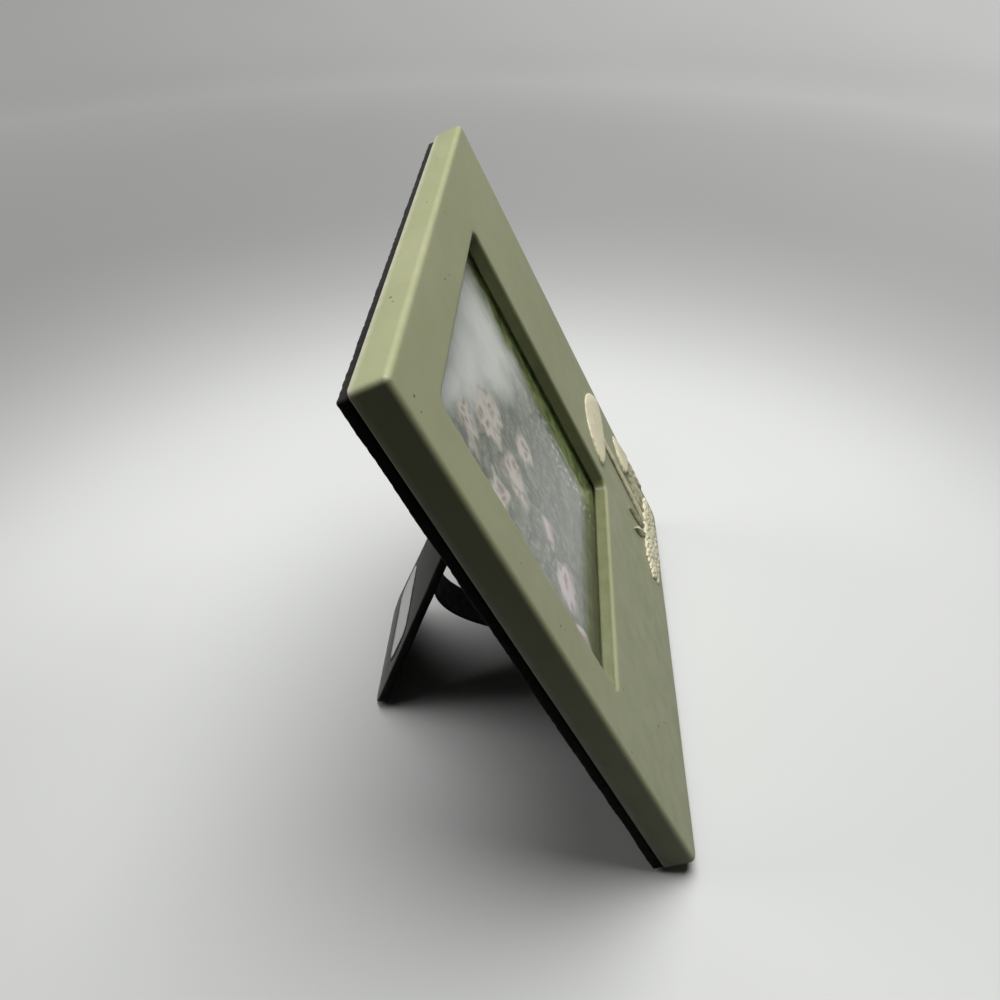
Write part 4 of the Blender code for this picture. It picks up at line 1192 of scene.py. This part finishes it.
def ribbon_line():
    panel_y = BOARD_BACK + RIBBON_SEAT + RIBBON_THICKNESS / 2
    leg_y = LEG_INNER - RIBBON_SEAT - RIBBON_THICKNESS / 2
    leave = Vector((panel_y, RIBBON_PANEL_HEIGHT))
    arrive = leg_to_frame(leg_y, -RIBBON_LEG_DISTANCE)
    leave_pull = leave - Vector((0.0, RIBBON_PANEL_PULL))
    arrive_pull = leg_to_frame(leg_y, -RIBBON_LEG_DISTANCE - RIBBON_LEG_PULL)
    start = Vector((panel_y, RIBBON_PANEL_HEIGHT + RIBBON_END))
    end = leg_to_frame(leg_y, RIBBON_END - RIBBON_LEG_DISTANCE)
    line = [start.lerp(leave, step / RIBBON_END_STEPS) for step in range(RIBBON_END_STEPS)]
    for step in range(RIBBON_STEPS + 1):
        t = step / RIBBON_STEPS
        u = 1 - t
        bend = leave_pull * (3 * u * u * t) + arrive_pull * (3 * u * t * t)
        line.append(leave * u ** 3 + bend + arrive * t ** 3)
    return line + spread(arrive, end, RIBBON_END_STEPS) + [end]


def make_ribbon():
    line = ribbon_line()
    rows = len(line)
    travelled = [0.0]
    for first, second in zip(line, line[1:]):
        travelled.append(travelled[-1] + (second - first).length)
    total = travelled[-1]
    places, along, across = [], [], []
    for side in (1, -1):
        for row, point in enumerate(line):
            ahead = line[min(row + 1, rows - 1)] - line[max(row - 1, 0)]
            normal = Vector((-ahead.y, ahead.x)).normalized()
            free = max(0.0, sin(pi * travelled[row] / total) - 0.25)
            for step in range(RIBBON_ACROSS + 1):
                share = -1 + 2 * step / RIBBON_ACROSS
                cup = RIBBON_CUP * free * (share * share - 0.4)
                selvedge = 1.0 + 0.3 * exp(-((abs(share) - 0.92) / 0.05) ** 2)
                thick = RIBBON_HALF * selvedge * (1 if abs(share) < 1 else 0.4)
                spot = point + normal * (cup + side * thick)
                x = share * RIBBON_WIDTH / 2
                places.append(Vector((x, spot.x, spot.y)))
                along.append(travelled[row])
                across.append(x)
    faces = sheet_faces(rows, RIBBON_ACROSS + 1)
    band = new_piece("leg_ribbon", places, faces, RIBBON, FRAME_MATRIX, None, ("stay_ribbon",),
                     {"along": along, "across": across})
    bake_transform(band)


make_ribbon()


# CAD nodes that stay

SOFT_EDGE_ANGLE = radians(35.0)


def dress(name, finish, bevel):
    """Give a CAD node its finish and soft edges."""
    piece = NODES[name]
    piece.data.materials.clear()
    piece.data.materials.append(finish)
    soften = piece.modifiers.new("soft_edges", "BEVEL")
    soften.width = bevel
    soften.segments = 3
    soften.limit_method = "ANGLE"
    soften.angle_limit = SOFT_EDGE_ANGLE
    soften.use_clamp_overlap = True


for cad_name in NODES:
    if cad_name.startswith(("turn_button", "button_screw", "hinge_rivet", "ribbon_tack")):
        dress(cad_name, NICKEL, 0.12 * MM)
    elif cad_name.startswith("hinge_leaf"):
        dress(cad_name, BLACK_STEEL, 0.14 * MM)
dress("hinge_pin", BLACK_STEEL, 0.10 * MM)
dress("filler_card", CARD, 0.10 * MM)
dress("glass_pane", GLASS, 0.25 * MM)


# Floor, light and camera

FLOOR_COLOUR = (0.955, 0.968, 0.948)
BOUNCE_COLOUR = (0.060, 0.061, 0.058)

# Share of the floor's colour that reflections see, from one X to another, in metres: painted shade that dims the
# floor in reflections, most towards -X
GLOSSY_FAR_X, GLOSSY_FAR_SHARE = -0.26, 0.05
GLOSSY_NEAR_X, GLOSSY_SHARE = -0.09, 0.52

BOWL_CENTRE = (0.0, -0.04)
BOWL_FLAT = 0.85
BOWL_BEND = 0.45
WALL_TOP = 1.6
BOWL_STEPS = 96
BOWL_BEND_STEPS = 20

# Painted light and shade: how bright the floor is painted at a distance from its centre, in metres, and how much
# more to its -Y side
FLOOR_PAINTED_LIGHT = ((0.00, 0.714), (0.15, 0.714), (0.20, 0.680), (0.25, 0.545), (0.31, 0.415), (0.38, 0.355),
              (0.46, 0.345), (0.62, 0.435), (0.75, 0.560), (1.10, 0.880), (1.60, 0.950))
PAINTED_LIGHT_TILT = 0.45
PAINTED_LIGHT_TILT_FROM, PAINTED_LIGHT_TILT_TO = 0.10, 0.35
FADE_REACH = 1.6
MOTTLE_SIZE = 0.25
CORNER_SHADE = 0.885
CORNER_SHADE_CENTRE = (-0.09, 0.13, 0.0)
CORNER_SHADE_FROM, CORNER_SHADE_TO = 0.05, 0.16
WORLD_STRENGTH = 0.04
LAMP_AIM = Vector((0.0, 0.0, 0.05))


def sweep_paper_painted_light():
    """Pale paper with painted light that fades to grey away from the middle, and a painted soft shade at one
    corner.
    """
    look = Look("sweep_paper_painted_light", laid_out=False)
    distance = look.node("VectorMath", {0: look.place}, operation="LENGTH").outputs["Value"]
    ramp = look.node("ValToRGB", {"Fac": look.maths("DIVIDE", distance, FADE_REACH)})
    stops = ramp.color_ramp.elements
    for index, (reach, level) in enumerate(FLOOR_PAINTED_LIGHT):
        if index < 2:
            stop = stops[index]
            stop.position = reach / FADE_REACH
        else:
            stop = stops.new(reach / FADE_REACH)
        stop.color = (level, level, level, 1.0)
    ramp.color_ramp.interpolation = "B_SPLINE"
    level = look.times(look.patches(MOTTLE_SIZE, to_low=0.975), ramp.outputs["Color"])
    # Painted light: brighter towards the -Y side, with a painted soft shade at one corner.
    x, y, _ = look.axes(look.place)
    tilt = look.times(y, look.stretch(distance, PAINTED_LIGHT_TILT_FROM, PAINTED_LIGHT_TILT_TO, 0.0, PAINTED_LIGHT_TILT))
    level = look.times(level, look.maths("SUBTRACT", 1.0, tilt))
    away = look.distance(look.place, CORNER_SHADE_CENTRE)
    level = look.times(level, look.stretch(away, CORNER_SHADE_FROM, CORNER_SHADE_TO, CORNER_SHADE, 1.0))
    seen = look.mix(level, (0.0, 0.0, 0.0), FLOOR_COLOUR)
    path = look.node("LightPath").outputs
    # Painted shade in reflections: they see the floor dimmer, and nearly dark towards -X.
    direct = look.maths("MAXIMUM", path["Is Camera Ray"], path["Is Transmission Ray"])
    share = look.stretch(x, GLOSSY_FAR_X, GLOSSY_NEAR_X, GLOSSY_FAR_SHARE, GLOSSY_SHARE)
    direct = look.maths("MAXIMUM", direct, look.times(path["Is Glossy Ray"], share))
    return look.finish({
        "Base Color": look.mix(direct, BOUNCE_COLOUR, seen),
        "Roughness": 0.9,
        "Specular IOR Level": 0.15,
    })


def make_stage():
    """Pale round floor that sweeps up into a wall all round."""
    line = [(0.3, 0.0), (0.6, 0.0), (BOWL_FLAT, 0.0)]
    for angle in quarter(BOWL_BEND_STEPS)[1:]:
        line.append((BOWL_FLAT + BOWL_BEND * sin(angle), BOWL_BEND * (1 - cos(angle))))
    line.append((BOWL_FLAT + BOWL_BEND, WALL_TOP))
    places = [(*BOWL_CENTRE, 0.0)]
    for radius, z in line:
        for step in range(BOWL_STEPS):
            angle = 2 * pi * step / BOWL_STEPS
            x, y = BOWL_CENTRE[0] + radius * cos(angle), BOWL_CENTRE[1] + radius * sin(angle)
            places.append((x, y, z))
    faces = [(0, 1 + (step + 1) % BOWL_STEPS, 1 + step) for step in range(BOWL_STEPS)]
    for row in range(len(line) - 1):
        bridge(faces, 1 + row * BOWL_STEPS, 1 + (row + 1) * BOWL_STEPS, BOWL_STEPS)
    mesh = bpy.data.meshes.new("sweep")
    mesh.from_pydata(places, [], flipped(faces))
    mesh.shade_smooth()
    mesh.materials.append(sweep_paper_painted_light())
    floor = add_object("sweep", mesh)


def add_area(name, place, size, power):
    lamp = bpy.data.lights.new(name, "AREA")
    lamp.shape = "DISK"
    lamp.size = size
    lamp.energy = power
    holder = add_object(name, lamp)
    holder.location = place
    holder.rotation_euler = (LAMP_AIM - Vector(place)).to_track_quat("-Z", "Y").to_euler()


def make_world():
    world = bpy.data.worlds.new("studio")
    world.use_nodes = True
    background = world.node_tree.nodes["Background"]
    background.inputs["Color"].default_value = (1.0, 1.0, 1.0, 1.0)
    background.inputs["Strength"].default_value = WORLD_STRENGTH
    bpy.context.scene.world = world


def make_camera():
    camera = bpy.data.cameras.new("camera")
    camera.lens = CAMERA_LENS
    camera.sensor_width = CAMERA_SENSOR
    camera.clip_start = 0.01
    holder = add_object("camera", camera)
    flat = cos(CAMERA_PITCH)
    ahead = Vector((cos(CAMERA_YAW) * flat, sin(CAMERA_YAW) * flat, -sin(CAMERA_PITCH)))
    holder.location = CAMERA_PLACE
    turn = ahead.to_track_quat("-Z", "Y").to_matrix() @ Matrix.Rotation(CAMERA_ROLL, 3, "Z")
    holder.rotation_euler = turn.to_euler()
    bpy.context.scene.camera = holder


make_stage()
add_area("key", (0.24, -0.06, 1.05), size=0.90, power=14.2)
add_area("fill", (0.05, 0.95, 0.50), size=0.60, power=2.6)
make_world()
make_camera()
bpy.context.scene.view_settings.view_transform = "Standard"
